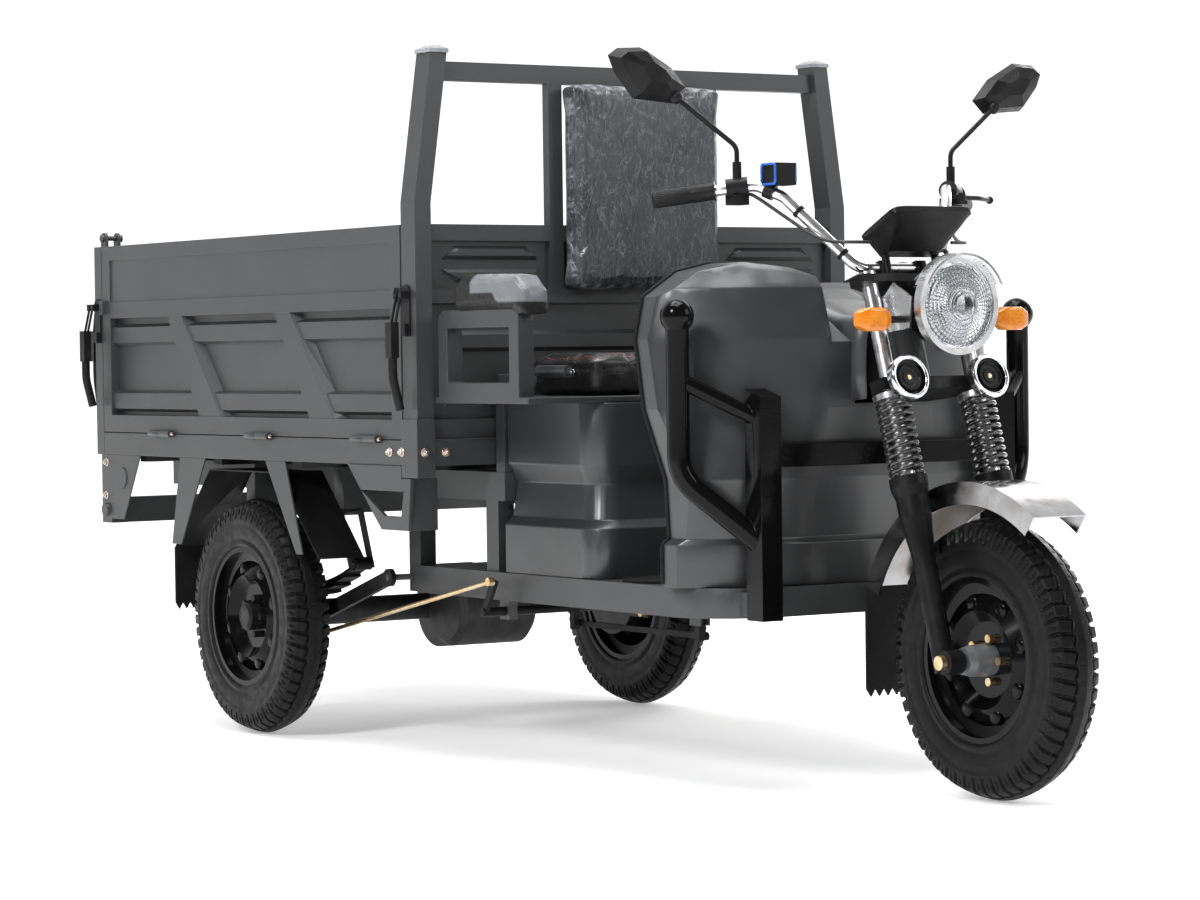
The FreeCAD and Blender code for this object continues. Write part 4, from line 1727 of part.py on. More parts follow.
def brake_lever():
    """Blade with a ball end, turning on the pin of the left pod."""
    low = d.lever_low + d.lever_plate + d.play
    middle = low + d.lever_tall / 2
    hub = cyl("Z", d.lever_half, (d.lever_x, d.lever_y, low), d.lever_tall)
    bore = cyl("Z", d.lever_pin + d.running_play, (d.lever_x, d.lever_y, low - d.overrun),
               d.lever_tall + 2 * d.overrun)
    end = (d.lever_end_x, d.lever_end_y, d.lever_end_z)
    blade = pipe([(d.lever_x, d.lever_y, middle), (d.lever_mid_x, d.lever_mid_y, middle), end],
                 d.lever_radius,
                 d.bar_bend)
    return cut(fuse(hub, blade, ball(d.lever_tip, end)), bore)


def cable():
    """Control cable from the pod, under the bar's bend, into the side of the dial case."""
    face, way = along(bar_right[1], bar_right[2], d.pod_stop)
    down = (way * way.z - Z_AXIS).normalize()
    start = face + down * float(d.cable_off)
    near = start + way * float(d.cable_lead)
    points = [start, near, (d.cable_rise_x, -d.cable_rise_y, d.cable_rise_z),
              (d.cable_turn_x, -d.cable_turn_y, d.cable_turn_z), (d.cable_end_x, -d.cable_end_y,
                                        d.cable_end_z),
              (d.cable_end_x, -d.dial_half, d.cable_end_z)]
    return pipe(points, d.cable_radius, d.cable_bend)


def mirror():
    x, y, z = pod_middle
    low = d.boss_top + d.play
    collar = cyl("Z", d.boss_radius, (x, y, low), d.mirror_collar)
    bore = cyl("Z", d.mirror_pin + d.running_play, (x, y, low - d.overrun), d.mirror_collar + d.overrun)
    foot = low + d.mirror_collar
    stem = pipe([(x, y, foot - d.overrun / 2), (x, y, foot + d.stem_up), (d.joint_x, -d.joint_y, d.joint_z),
                 (d.stem_end_x, -d.stem_end_y, d.stem_end_z)], d.stem_thin, d.stem_bend)
    wires = []
    for deep_share, wide_share in mirror_shares:
        points = [(d.mirror_x + d.mirror_deep * deep_share, getattr(d,
                                        f"glass_y_{c}") * wide_share - d.mirror_y,
                   d.mirror_z + getattr(d, f"glass_z_{c}") * wide_share) for c in "abcdefgh"]
        wires.append(polygon(points))
    return cut(fuse(collar, stem, ball(d.mirror_ball, (d.joint_x, -d.joint_y, d.joint_z)), loft(wires)),
               bore)


right_mirror = mirror()
node("handlebar", pipe(bar_points, d.bar_radius, d.bar_bend))
node("throttle_grip", grip())
right_pod = pod()
node("handlebar_switches", right_pod, right_box(), fuse(mirrored(right_pod), lever_shelf()),
     mirrored(grip()))
node("brake_lever", brake_lever())
node("control_cables", both(cable()))
node("right_mirror", right_mirror)
node("left_mirror", mirrored(right_mirror))

# Headlamp, signals, horns and dial case
lamp_sizes = {
    "lamp_setback": 115, "lamp_z": 958, "lamp_ring": 97, "lamp_ring_long": 20, "lamp_deep": 95,
    "lamp_bowl": 88,
    "lamp_belly": 76, "lamp_belly_x": 52, "lamp_tail": 40, "lamp_wall": 5, "lens_radius": 85, "lens_set": 6,
    "lens_edge": 8, "lens_dome": 22, "lens_thick": 4, "visor_long": 18, "visor_rise": 40, "bulb_radius": 9,
    "bulb_long": 50, "cheek_y": 85.7, "cheek_plate": 4, "cheek_rear_setback": 245, "cheek_rear_z": 955,
    "cheek_foot_setback": 225, "cheek_foot_z": 905, "cheek_toe_setback": 140, "cheek_toe_z": 915,
    "cheek_front_setback": 132,
    "cheek_front_z": 975, "cheek_top_setback": 190, "cheek_top_z": 1005, "cheek_bolt_setback": 150,
    "cheek_bolt": 8,
    "signal_setback": 150, "signal_z": 932, "signal_stalk": 7, "signal_near": 132, "signal_far": 212,
    "signal_deep": 18, "signal_tall": 23, "signal_bevel": 9, "horn_y": 100, "horn_body": 17, "horn_long": 22,
    "horn_ring": 44, "horn_ring_long": 18, "horn_lip": 8, "horn_set": 9, "dial_rear": 38, "dial_foot": 76,
    "dial_brow_x": 161, "dial_brow_z": 356, "dial_chin_x": 162, "dial_chin_z": 340, "dial_back_x": 27,
    "dial_back_z": 334,
}
define(lamp_sizes)
from_front_axle("lamp_x", "cheek_rear_x", "cheek_foot_x", "cheek_toe_x", "cheek_front_x", "cheek_top_x",
                "cheek_bolt_x", "signal_x")
lens_back = d.lamp_x + d.lens_set


def headlamp():
    """Bowl with a reflector face, bulb, chrome ring with a visor, and side plates to the fork."""
    wall = d.lamp_wall
    rear = d.lamp_x - d.lamp_deep
    belly = d.lamp_x - d.lamp_belly_x
    front = d.lamp_x + d.lamp_ring_long
    bowl = turned("X", [
        (rear, 0), (rear, d.lamp_tail), (belly, d.lamp_belly), (d.lamp_x, d.lamp_bowl), (d.lamp_x,
                                        d.lamp_ring),
        (front, d.lamp_ring), (front, d.lens_radius + d.play), (lens_back, d.lens_radius + d.play),
        (lens_back, d.lens_radius - wall), (d.lamp_x, d.lamp_bowl - wall), (belly, d.lamp_belly - wall),
        (rear + wall, d.lamp_tail - wall), (rear + wall, 0)], (0, 0, d.lamp_z))
    ring = turned("X", [(d.lamp_x, d.lamp_ring), (d.lamp_x, d.lamp_ring + wall),
                        (front + d.visor_long, d.lamp_ring + wall), (front + d.visor_long, d.lamp_ring)],
                  (0, 0, d.lamp_z))
    side = 2 * d.lamp_ring
    top = block(d.lamp_x, front + 2 * d.visor_long, -side, side, d.lamp_z + d.visor_rise, d.lamp_z + side)
    bulb = cyl("X", d.bulb_radius, (rear + wall / 2, 0, d.lamp_z), d.bulb_long)
    cheek = plate("XZ", [
        (d.cheek_rear_x, d.cheek_rear_z), (d.cheek_foot_x, d.cheek_foot_z), (d.cheek_toe_x, d.cheek_toe_z),
        (d.cheek_front_x, d.cheek_front_z), (d.cheek_top_x, d.cheek_top_z)], d.cheek_plate,
        (0, -d.cheek_y - d.cheek_plate / 2, 0))
    bolt = cyl("Y", d.cheek_bolt, (d.cheek_bolt_x, -d.cheek_y - d.cheek_plate, d.lamp_z),
               d.cheek_plate + d.lamp_wall)
    return fuse(bowl, common(ring, top), bulb, cheek, mirrored(cheek), bolt, mirrored(bolt))


def lens():
    outer = (d.lens_radius * d.lens_radius + d.lens_dome * d.lens_dome) / (2 * d.lens_dome)
    inside = d.lens_radius - d.lens_thick
    inner = (inside * inside + d.lens_dome * d.lens_dome) / (2 * d.lens_dome)
    edge = lens_back + d.lens_edge
    return turned("X", [
        (lens_back, inside), (lens_back, d.lens_radius), (edge, d.lens_radius), (edge + d.lens_dome, 0,
                                        -outer),
        (edge + d.lens_dome - d.lens_thick, 0), (edge - d.lens_thick, inside, inner)], (0, 0, d.lamp_z))


def signal():
    """Amber lamp on a short stalk from the headlamp plate."""
    start = d.cheek_y + d.cheek_plate
    stalk = cyl("Y", d.signal_stalk, (d.signal_x, -d.signal_near - d.overrun, d.signal_z),
                d.signal_near + d.overrun - start)
    wires = []
    for y, inset in ((d.signal_near, d.signal_bevel), (d.signal_near + d.signal_bevel, as_size(0)),
                     (d.signal_far - d.signal_bevel, as_size(0)), (d.signal_far, d.signal_bevel)):
        deep = d.signal_deep - inset
        tall = d.signal_tall - inset
        wires.append(polygon([(d.signal_x - deep, -y, d.signal_z - tall), (d.signal_x + deep, -y,
                                        d.signal_z - tall),
                              (d.signal_x + deep, -y, d.signal_z + tall), (d.signal_x - deep, -y,
                                        d.signal_z + tall)]))
    return fuse(stalk, loft(wires))


def horn(s):
    base = d.yoke_front
    ring = base + d.horn_long
    return turned("X", [
        (base, 0), (base, d.horn_body), (ring, d.horn_body), (ring, d.horn_ring), (ring + d.horn_ring_long,
                                        d.horn_ring),
        (ring + d.horn_ring_long, d.horn_ring - d.horn_lip), (ring + d.horn_set, d.horn_body),
        (ring + d.horn_set, 0)], (0, s * d.horn_y, d.yoke_low + d.yoke_thick / 2))


def dial_case():
    return plate("XZ", [(d.dial_rear, d.dial_low), (d.dial_foot, d.dial_low), (d.dial_chin_x, d.dial_chin_z),
                        (d.dial_brow_x, d.dial_brow_z), (d.dial_back_x, d.dial_back_z)], 2 * d.dial_half,
                        (0, 0, 0))


node("headlamp", headlamp())
node("headlamp_lens", lens())
node("turn_signals", both(signal()))
steered_node("horns", horn(-1), horn(1))
steered_node("instrument_panel", dial_case())

# Foot brake: pedal, link, cross shaft and the rods to the drums
brake_sizes = {
    "pedal_boss": 14, "pedal_arm": 9, "pedal_pad_setback": 662, "pedal_pad_z": 468, "pedal_pad_half": 30,
    "pedal_pad_thick": 10, "pedal_pad_wide": 38, "crank_drop": 40, "crank_tip": 8, "link_thick": 10,
    "link_half": 6, "shaft_half": 436, "arm_in": 424, "arm_out": 433, "arm_ahead": 140, "arm_z": 389,
    "arm_half": 10, "brake_rod_y": 440, "brake_rod": 5, "rod_end": 9, "rod_end_half": 6.7,
}
define(brake_sizes)
from_front_axle("pedal_pad_x")
from_bed_front("arm_x")


def crank(x, z):
    """Short arm that hangs below a pivot and moves the link."""
    w = d.pedal_arm
    tip = z - d.crank_drop - d.crank_tip
    return plate("XZ", [(x - w, z), (x - d.crank_tip, tip), (x + d.crank_tip, tip), (x + w, z)],
                 2 * d.pedal_half, (0, -d.slot_y, 0))


def brake_pedal():
    x = d.pedal_x
    z = d.pedal_z
    w = d.pedal_arm
    y = -d.slot_y
    hub = cyl("Y", d.pedal_boss, (x, y - d.pedal_half, z), 2 * d.pedal_half)
    arm = plate("XZ", [(x - w, z), (x + w, z), (d.pedal_pad_x + w, d.pedal_pad_z), (d.pedal_pad_x - w,
                                        d.pedal_pad_z)],
                2 * d.pedal_half, (0, y, 0))
    tread = block(d.pedal_pad_x - d.pedal_pad_half, d.pedal_pad_x + d.pedal_pad_half, y - d.pedal_pad_wide,
                  y + d.pedal_pad_wide, d.pedal_pad_z - d.overrun, d.pedal_pad_z + d.pedal_pad_thick)
    bore = cyl("Y", d.pedal_pin + d.running_play, (x, y - 2 * d.pedal_half, z), 4 * d.pedal_half)
    return cut(fuse(hub, arm, tread, crank(x, z)), bore)


def brake_link():
    y = d.pedal_half + d.play - d.slot_y
    z = d.pedal_z - d.crank_drop
    bar = block(d.shaft_x, d.pedal_x, y, y + d.link_thick, z - d.link_half, z + d.link_half)
    ends = [cyl("Y", d.rod_end, (x, y, z), d.link_thick) for x in (d.shaft_x, d.pedal_x)]
    return fuse(bar, *ends)


def cross_shaft():
    parts = [cyl("Y", d.cross_radius, (d.shaft_x, -d.shaft_half, d.shaft_z), 2 * d.shaft_half),
             crank(d.shaft_x, d.shaft_z)]
    h = d.arm_half
    for s in (-1, 1):
        parts.append(plate("XZ", [(d.shaft_x - h, d.shaft_z), (d.shaft_x + h, d.shaft_z),
                                  (d.arm_x + h, d.arm_z), (d.arm_x - h, d.arm_z + h / 2)],
                           d.arm_out - d.arm_in, (0, s * (d.arm_in + d.arm_out) / 2, 0)))
    return fuse(*parts)


def brake_rod():
    y = -d.brake_rod_y
    front = (d.arm_x, y, d.arm_z)
    rear = (d.cam_arm_x, y, d.cam_arm_z)
    ends = [cyl("Y", d.rod_end, (x, y - d.rod_end_half, z), 2 * d.rod_end_half) for x, y, z in (front, rear)]
    return fuse(pipe([rear, front], d.brake_rod, d.brake_rod), *ends)


node("brake_pedal", brake_pedal())
node("brake_link", brake_link())
node("brake_cross_shaft", cross_shaft())
node("brake_rods", both(brake_rod()))

doc.recompute()
os.makedirs("parts", exist_ok=True)
for obj in doc.Objects:
    if "Invalid" in obj.State or "Error" in obj.State:
        raise RuntimeError(f"{obj.Name} did not recompute: {obj.State}")
for item in nodes:
    form = item.Shape
    if form.isNull() or not form.isValid():
        raise RuntimeError(f"{item.Label} has no sound shape")
    solids = form.Solids
    finished = solids[0] if len(solids) == 1 else Part.makeCompound(solids)
    finished.exportStep(f"parts/{item.Label}.step")
print(len(nodes), "pieces written")
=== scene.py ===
# %% [markdown]
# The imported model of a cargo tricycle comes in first, as a fixed frame. Every
# piece made below is worked out in metres in that same frame: X runs forward
# along the vehicle, Y to the rider's left and Z up from the floor. Nothing has
# to be fitted by eye, because a piece is drawn where the steel already is.

# %% Load the frame
import math
import bmesh
import bpy
import numpy as np
from mathutils import Matrix, Vector


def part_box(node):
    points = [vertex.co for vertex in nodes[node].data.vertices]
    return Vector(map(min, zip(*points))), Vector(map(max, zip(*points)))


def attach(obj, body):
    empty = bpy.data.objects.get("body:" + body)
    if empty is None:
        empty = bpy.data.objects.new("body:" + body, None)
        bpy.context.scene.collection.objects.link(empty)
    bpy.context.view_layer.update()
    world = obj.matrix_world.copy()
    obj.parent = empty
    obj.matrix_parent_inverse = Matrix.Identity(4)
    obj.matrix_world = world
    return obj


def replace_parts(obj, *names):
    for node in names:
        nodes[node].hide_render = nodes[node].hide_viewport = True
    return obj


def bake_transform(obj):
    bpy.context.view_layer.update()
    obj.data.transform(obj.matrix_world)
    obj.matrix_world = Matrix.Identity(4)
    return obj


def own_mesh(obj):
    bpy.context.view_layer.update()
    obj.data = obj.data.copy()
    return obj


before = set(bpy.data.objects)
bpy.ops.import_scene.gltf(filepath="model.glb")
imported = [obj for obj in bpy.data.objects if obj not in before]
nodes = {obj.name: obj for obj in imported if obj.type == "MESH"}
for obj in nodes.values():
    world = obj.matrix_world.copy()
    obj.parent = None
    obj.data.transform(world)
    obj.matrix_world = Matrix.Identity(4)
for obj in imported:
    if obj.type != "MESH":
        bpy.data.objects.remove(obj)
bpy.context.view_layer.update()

scene = bpy.context.scene

# %% [markdown]
# The drawing was measured from the rear axle, which lies 742 mm behind the
# middle of the vehicle. One small function turns such a measure in millimetres
# into a point of the frame, so the numbers below can be read on a tape.

# %% Measures from the rear axle
AXLE_X = -0.742


def at(x, y, z):
    """Millimetres from the rear axle, forward, left and up, become metres in the frame."""
    return np.stack(np.broadcast_arrays(np.asarray(x) / 1000 + AXLE_X, np.asarray(y) / 1000,
                                        np.asarray(z) / 1000), -1)


rake = math.radians(17)
head = at(1820, 0, 768)
steer_axis = np.array([-math.sin(rake), 0, math.cos(rake)])
steer_ahead = np.array([math.cos(rake), 0, math.sin(rake)])


def on_fork(x, y, z):
    """Millimetres along the laid-back steering axis: x ahead of it, y to the left, z up along it."""
    x, y, z = np.broadcast_arrays(x, y, z)
    return (head + x[..., None] / 1000 * steer_ahead + y[..., None] / 1000 * np.array([0, 1, 0])
            + z[..., None] / 1000 * steer_axis)


print("steering head at", head.round(3))

# %% [markdown]
# The camera stands ahead and to the right of the tricycle, a little below eye
# height, with a long lens. Its place was solved from the wheels, posts and bed
# corners, so the picture lines up with the object and not the other way round.

# %% Camera
PICTURE_WIDE, FOCAL_PIXELS, SENSOR = 1200, 3559, 36
stand_point = at(7380, -4371, 875)
swing, tip, roll = np.radians([56.99, 1.57, -0.75])
sight = np.array([-np.sin(swing) * np.cos(tip), np.cos(swing) * np.cos(tip), -np.sin(tip)])
level = np.array([np.cos(swing), np.sin(swing), 0])
over = np.cross(level, sight)
across = np.cos(roll) * level + np.sin(roll) * over
upward = np.cos(roll) * over - np.sin(roll) * level

lens = bpy.data.cameras.new("view")
lens.sensor_fit = "HORIZONTAL"
lens.sensor_width = SENSOR
lens.lens = SENSOR * FOCAL_PIXELS / PICTURE_WIDE
lens.clip_end = 200
camera = bpy.data.objects.new("view", lens)
turn = np.eye(4)
turn[:3, 0], turn[:3, 1], turn[:3, 2], turn[:3, 3] = across, upward, -sight, stand_point
camera.matrix_world = Matrix(turn.tolist())
scene.collection.objects.link(camera)
scene.camera = camera
print("lens", round(lens.lens, 1), "mm")

# %% [markdown]
# Every new piece is a mesh from an array of points and a list of faces. Most
# shapes are grids of points, so their faces follow from the number of rows and
# columns alone. A circle whose sine and cosine are bent by a small power turns
# into a rounded rectangle, which is the outline of most mouldings here.

# %% Helpers for meshes
def mesh_piece(name, points, faces, smooth=True):
    """A mesh object at the origin from an array of points and an array of faces."""
    mesh = bpy.data.meshes.new(name)
    mesh.from_pydata(np.asarray(points, float).reshape(-1, 3).tolist(), [], faces)
    mesh.polygons.foreach_set("use_smooth", np.full(len(mesh.polygons), smooth))
    mesh.update()
    piece = bpy.data.objects.new(name, mesh)
    scene.collection.objects.link(piece)
    return piece


def grid_faces(rows, columns, wrap_rows=False, wrap_columns=False, first=0):
    """Four-sided faces of a grid of points, joined round where a direction wraps."""
    i = np.arange(rows if wrap_rows else rows - 1)[:, None]
    j = np.arange(columns if wrap_columns else columns - 1)[None, :]
    a, b = i * columns + j, i * columns + (j + 1) % columns
    c, e = (i + 1) % rows * columns + (j + 1) % columns, (i + 1) % rows * columns + j
    return (np.stack(np.broadcast_arrays(a, b, c, e), -1).reshape(-1, 4) + first).tolist()


def bend(t, power):
    """A sine or cosine raised to a power with its sign kept: sgn(t) |t|^p."""
    return np.sign(t) * np.abs(t) ** power


def coat(piece, finish):
    """Give a piece its finish, or one more."""
    piece.data.materials.append(finish.material)
    return piece


def drawn_box(name):
    """The lowest and the highest corner of a node, as arrays."""
    return [np.array(corner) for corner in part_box(name)]


# %% [markdown]
# A studio for a dark vehicle is mostly white: a pale floor, a pale surround and
# four broad soft lamps. The lamps are large so that the black tubes and the
# chrome carry long even highlights instead of small hot spots.

# %% Studio
def soft_lamp(name, place, target, size, power):
    """A square area lamp at a place, facing a target."""
    lamp = bpy.data.lights.new(name, "AREA")
    lamp.shape, lamp.size, lamp.energy = "SQUARE", size, power
    stand = bpy.data.objects.new(name, lamp)
    stand.matrix_world = (Matrix.Translation(Vector(place))
                          @ (Vector(target) - Vector(place)).to_track_quat("-Z", "Y").to_matrix().to_4x4())
    scene.collection.objects.link(stand)


FLOOR_HALF = 40.0
floor = mesh_piece("studio_floor", np.array([(-1, -1, 0), (1, -1, 0), (1, 1, 0), (-1, 1, 0)]) * FLOOR_HALF,
                   [(0, 1, 2, 3)])
soft_lamp("overhead", (0.2, -0.4, 5.4), (0, 0, 0.4), 3.5, 330)
soft_lamp("right_key", (2.2, -5.6, 4.6), (0, 0, 0.7), 1.6, 330)
soft_lamp("front_left", (5.2, 3.6, 3.6), (0.9, 0, 0.9), 3.0, 110)
soft_lamp("left_rim", (-2.0, 5.2, 3.2), (0, 0, 0.8), 3.0, 120)

scene.view_settings.view_transform = "Standard"

# %% [markdown]
# Paint, plastic, rubber and chrome differ mostly in how their small faults
# look. The same few faults come back in every finish, so each is a node group
# that is built once: cloudy patches, a pebbled mould grain, floor dust that
# settles low on the vehicle, metal flake, and the creases of clear film, whose
# ridges also give the mask for a painted highlight. A group only puts out masks
# and heights. The shader itself stays in each material.

# %% Node groups for surface faults
def fault_group(name, inputs, outputs):
    """A shader node group with named number inputs, a Vector input and named number outputs."""
    tree = bpy.data.node_groups.new(name, "ShaderNodeTree")
    tree.interface.new_socket("Vector", in_out="INPUT", socket_type="NodeSocketVector")
    for label, value in inputs.items():
        tree.interface.new_socket(label, in_out="INPUT", socket_type="NodeSocketFloat").default_value = value
    for label in outputs:
        tree.interface.new_socket(label, in_out="OUTPUT", socket_type="NodeSocketFloat")
    return tree, tree.nodes.new("NodeGroupInput"), tree.nodes.new("NodeGroupOutput")


def feed(tree, socket, term):
    """Link another socket to this one, or set it to a plain value."""
    if isinstance(term, bpy.types.NodeSocket):
        tree.links.new(term, socket)
    else:
        socket.default_value = term


def texture(tree, kind, vector, scale, **values):
    """A texture node read at a vector, at a scale that is a socket or a number."""
    node = tree.nodes.new(kind)
    tree.links.new(vector, node.inputs["Vector"])
    feed(tree, node.inputs["Scale"], scale)
    for label, value in values.items():
        if label in node.inputs:
            node.inputs[label].default_value = value
        else:
            setattr(node, label, value)
    return node


def sum_of(tree, operation, *terms):
    """A math node over sockets and numbers."""
    node = tree.nodes.new("ShaderNodeMath")
    node.operation = operation
    for socket, term in zip(node.inputs, terms):
        feed(tree, socket, term)
    return node.outputs[0]


def ramp(tree, value, low, high, to_low=0.0, to_high=1.0):
    """A smooth step of a value from one range to another."""
    node = tree.nodes.new("ShaderNodeMapRange")
    node.interpolation_type = "SMOOTHSTEP"
    tree.links.new(value, node.inputs["Value"])
    for label, term in (("From Min", low), ("From Max", high), ("To Min", to_low), ("To Max", to_high)):
        feed(tree, node.inputs[label], term)
    return node.outputs["Result"]


tree, came, goes = fault_group("cloudy_patches", {"Scale": 6.0, "Low": 0.35, "High": 0.65}, ["Mask"])
cloud = texture(tree, "ShaderNodeTexNoise", came.outputs["Vector"], came.outputs["Scale"], Detail=4.0)
tree.links.new(ramp(tree, cloud.outputs[0], came.outputs["Low"], came.outputs["High"]), goes.inputs["Mask"])
cloudy = tree

tree, came, goes = fault_group("pebble_grain", {"Scale": 900.0}, ["Height"])
cell = texture(tree, "ShaderNodeTexVoronoi", came.outputs["Vector"], came.outputs["Scale"],
               feature="SMOOTH_F1")
fine = texture(tree, "ShaderNodeTexNoise", came.outputs["Vector"], came.outputs["Scale"], Detail=2.0)
tree.links.new(sum_of(tree, "ADD", sum_of(tree, "MULTIPLY", cell.outputs["Distance"], 0.7),
                      sum_of(tree, "MULTIPLY", fine.outputs[0], 0.5)), goes.inputs["Height"])
pebble = tree

tree, came, goes = fault_group("floor_dust", {"Low": 0.0, "High": 0.7, "Amount": 0.5}, ["Mask"])
split = tree.nodes.new("ShaderNodeSeparateXYZ")
tree.links.new(came.outputs["Vector"], split.inputs[0])
height = ramp(tree, split.outputs["Z"], came.outputs["Low"], came.outputs["High"], 1.0, 0.0)
drift = texture(tree, "ShaderNodeTexNoise", came.outputs["Vector"], 9.0, Detail=6.0, Roughness=0.65)
speck = texture(tree, "ShaderNodeTexNoise", came.outputs["Vector"], 260.0, Detail=2.0)
lie = sum_of(tree, "MULTIPLY", ramp(tree, drift.outputs[0], 0.38, 0.72),
             ramp(tree, speck.outputs[0], 0.3, 0.7))
tree.links.new(sum_of(tree, "MULTIPLY", sum_of(tree, "MULTIPLY", lie, height), came.outputs["Amount"]),
               goes.inputs["Mask"])
dusty = tree

tree, came, goes = fault_group("metal_flake", {"Scale": 2600.0}, ["Mask"])
chip = texture(tree, "ShaderNodeTexVoronoi", came.outputs["Vector"], came.outputs["Scale"])
shade = tree.nodes.new("ShaderNodeSeparateColor")
tree.links.new(chip.outputs["Color"], shade.inputs[0])
tree.links.new(ramp(tree, shade.outputs[0], 0.55, 1.0), goes.inputs["Mask"])
flaked = tree

# Crease group: a height for bumps, and a mask of the crease ridges that the film finish paints as a
# highlight.
tree, came, goes = fault_group("film_creases_and_ridge_highlight", {"Scale": 14.0, "Stretch": 3.0, "Width": 0.04},
                               ["Height", "Mask"])
lean = tree.nodes.new("ShaderNodeMapping")
tree.links.new(came.outputs["Vector"], lean.inputs["Vector"])
lean.inputs["Rotation"].default_value = (0.45, 0.0, 0.0)
lean.inputs["Scale"].default_value = (1.0, 2.6, 0.75)
warp = texture(tree, "ShaderNodeTexNoise", lean.outputs[0], came.outputs["Scale"], Detail=3.0, Distortion=1.2)
crease = sum_of(tree, "ABSOLUTE", sum_of(tree, "SUBTRACT", warp.outputs[0], 0.5))
ridge = ramp(tree, crease, 0.0, came.outputs["Width"], 1.0, 0.0)
tree.links.new(ridge, goes.inputs["Mask"])
tree.links.new(sum_of(tree, "ADD", ridge, sum_of(tree, "MULTIPLY", warp.outputs[0], came.outputs["Stretch"])),
               goes.inputs["Height"])
creases_and_ridge_highlight = tree
print("node groups", [g.name for g in bpy.data.node_groups])

# %% [markdown]
# The surround is a white backdrop behind the vehicle and a dim room on the near
# side. Chrome and gloss paint need that difference: they show white on one flank
# and dark on the other, where an even white sky would leave them flat.

# %% Surround
surround = bpy.data.worlds.new("surround")
scene.world = surround
surround.use_nodes = True
tree = surround.node_tree
toward = tree.nodes.new("ShaderNodeVectorMath")
toward.operation = "DOT_PRODUCT"
tree.links.new(tree.nodes.new("ShaderNodeTexCoord").outputs["Generated"], toward.inputs[0])
toward.inputs[1].default_value = sight
glow = ramp(tree, toward.outputs["Value"], -0.05, 0.75, 0.12, 1.15)
tree.nodes["Background"].inputs["Color"].default_value = (1, 1, 1, 1)
tree.links.new(glow, tree.nodes["Background"].inputs["Strength"])
print("surround nodes", len(tree.nodes))

# %% [markdown]
# A finish is one material with the Principled shader. What is the same all over
# is set on the shader, and what varies comes in through the groups. The helper
# below keeps the wiring short: it mixes a second colour in by a mask, spreads
# the roughness between two values, lays dust over both and adds a fine bump.

# %% A helper for finishes
# Places of the Mix node's sockets when it mixes colours, and when it mixes numbers.
COLOR_A, COLOR_B, COLOR_OUT = 6, 7, 2
NUMBER_A, NUMBER_B, NUMBER_OUT = 2, 3, 0


class Finish:
    """A material on Object coordinates, with its Principled shader and small wiring steps."""

    made = []

    def __init__(self, name, color, roughness, **plain):
        Finish.made.append(name)
        self.material = bpy.data.materials.new(name)
        self.material.use_nodes = True
        self.tree = self.material.node_tree
        self.shader = self.tree.nodes["Principled BSDF"]
        self.place = self.tree.nodes.new("ShaderNodeTexCoord").outputs["Object"]
        self.shader.inputs["Base Color"].default_value = (*color, 1)
        self.shader.inputs["Roughness"].default_value = roughness
        for label, value in plain.items():
            self.shader.inputs[label.replace("_", " ")].default_value = value
        self.color, self.rough, self.height = (*color, 1), roughness, None

    def fault(self, group, output, **values):
        """One output of a fault group, with its own values."""
        node = self.tree.nodes.new("ShaderNodeGroup")
        node.node_tree = group
        self.tree.links.new(self.place, node.inputs["Vector"])
        for label, value in values.items():
            node.inputs[label].default_value = value
        return node.outputs[output]

    def tint(self, mask, color):
        """Mix a colour over what is there, by a mask."""
        node = self.tree.nodes.new("ShaderNodeMix")
        node.data_type = "RGBA"
        self.tree.links.new(mask, node.inputs["Factor"])
        feed(self.tree, node.inputs[COLOR_A], self.color)
        node.inputs[COLOR_B].default_value = (*color, 1)
        self.color = node.outputs[COLOR_OUT]
        self.tree.links.new(self.color, self.shader.inputs["Base Color"])
        return self

    def dull(self, mask, roughness):
        """Take the roughness from what is there to another value, by a mask."""
        node = self.tree.nodes.new("ShaderNodeMix")
        self.tree.links.new(mask, node.inputs["Factor"])
        feed(self.tree, node.inputs[NUMBER_A], self.rough)
        node.inputs[NUMBER_B].default_value = roughness
        self.rough = node.outputs[NUMBER_OUT]
        self.tree.links.new(self.rough, self.shader.inputs["Roughness"])
        return self

    def bump(self, height, distance, strength=1.0):
        """Raise the surface by a height, in metres, over any bump that is there."""
        node = self.tree.nodes.new("ShaderNodeBump")
        node.inputs["Distance"].default_value = distance
        node.inputs["Strength"].default_value = strength
        self.tree.links.new(height, node.inputs["Height"])
        if self.height is not None:
            self.tree.links.new(self.height, node.inputs["Normal"])
        self.height = node.outputs["Normal"]
        self.tree.links.new(self.height, self.shader.inputs["Normal"])
        return self

    def tint_clouds(self, scale, color):
        """A second colour in cloudy patches."""
        return self.tint(self.fault(cloudy, "Mask", Scale=scale), color)

    def dull_clouds(self, scale, roughness):
        """A second roughness in cloudy patches."""
        return self.dull(self.fault(cloudy, "Mask", Scale=scale), roughness)

    def grain(self, scale, distance):
        """A pebbled grain of a depth in metres."""
        return self.bump(self.fault(pebble, "Height", Scale=scale), distance)

    def dust(self, low, high, amount, color=(0.10, 0.092, 0.08)):
        """Floor dust between two heights."""
        mask = self.fault(dusty, "Mask", Low=low, High=high, Amount=amount)
        return self.tint(mask, color).dull(mask, 0.85)


# %% [markdown]
# Most of the body is folded sheet steel in a satin graphite paint with a fine
# metal flake. The leg shield and seat box are moulded plastic in the same
# colour, so they get a slightly deeper tone, a softer gloss and no flake.

# %% Paint and moulded panels
body_paint = Finish("graphite_paint", (0.040, 0.041, 0.043), 0.40, Metallic=0.3, Coat_Weight=0.12,
                    Coat_Roughness=0.3)
body_paint.tint(body_paint.fault(flaked, "Mask", Scale=2400.0), (0.068, 0.070, 0.073))
body_paint.dull_clouds(5.0, 0.47).grain(420.0, 0.00012).dust(0.25, 0.95, 0.10)

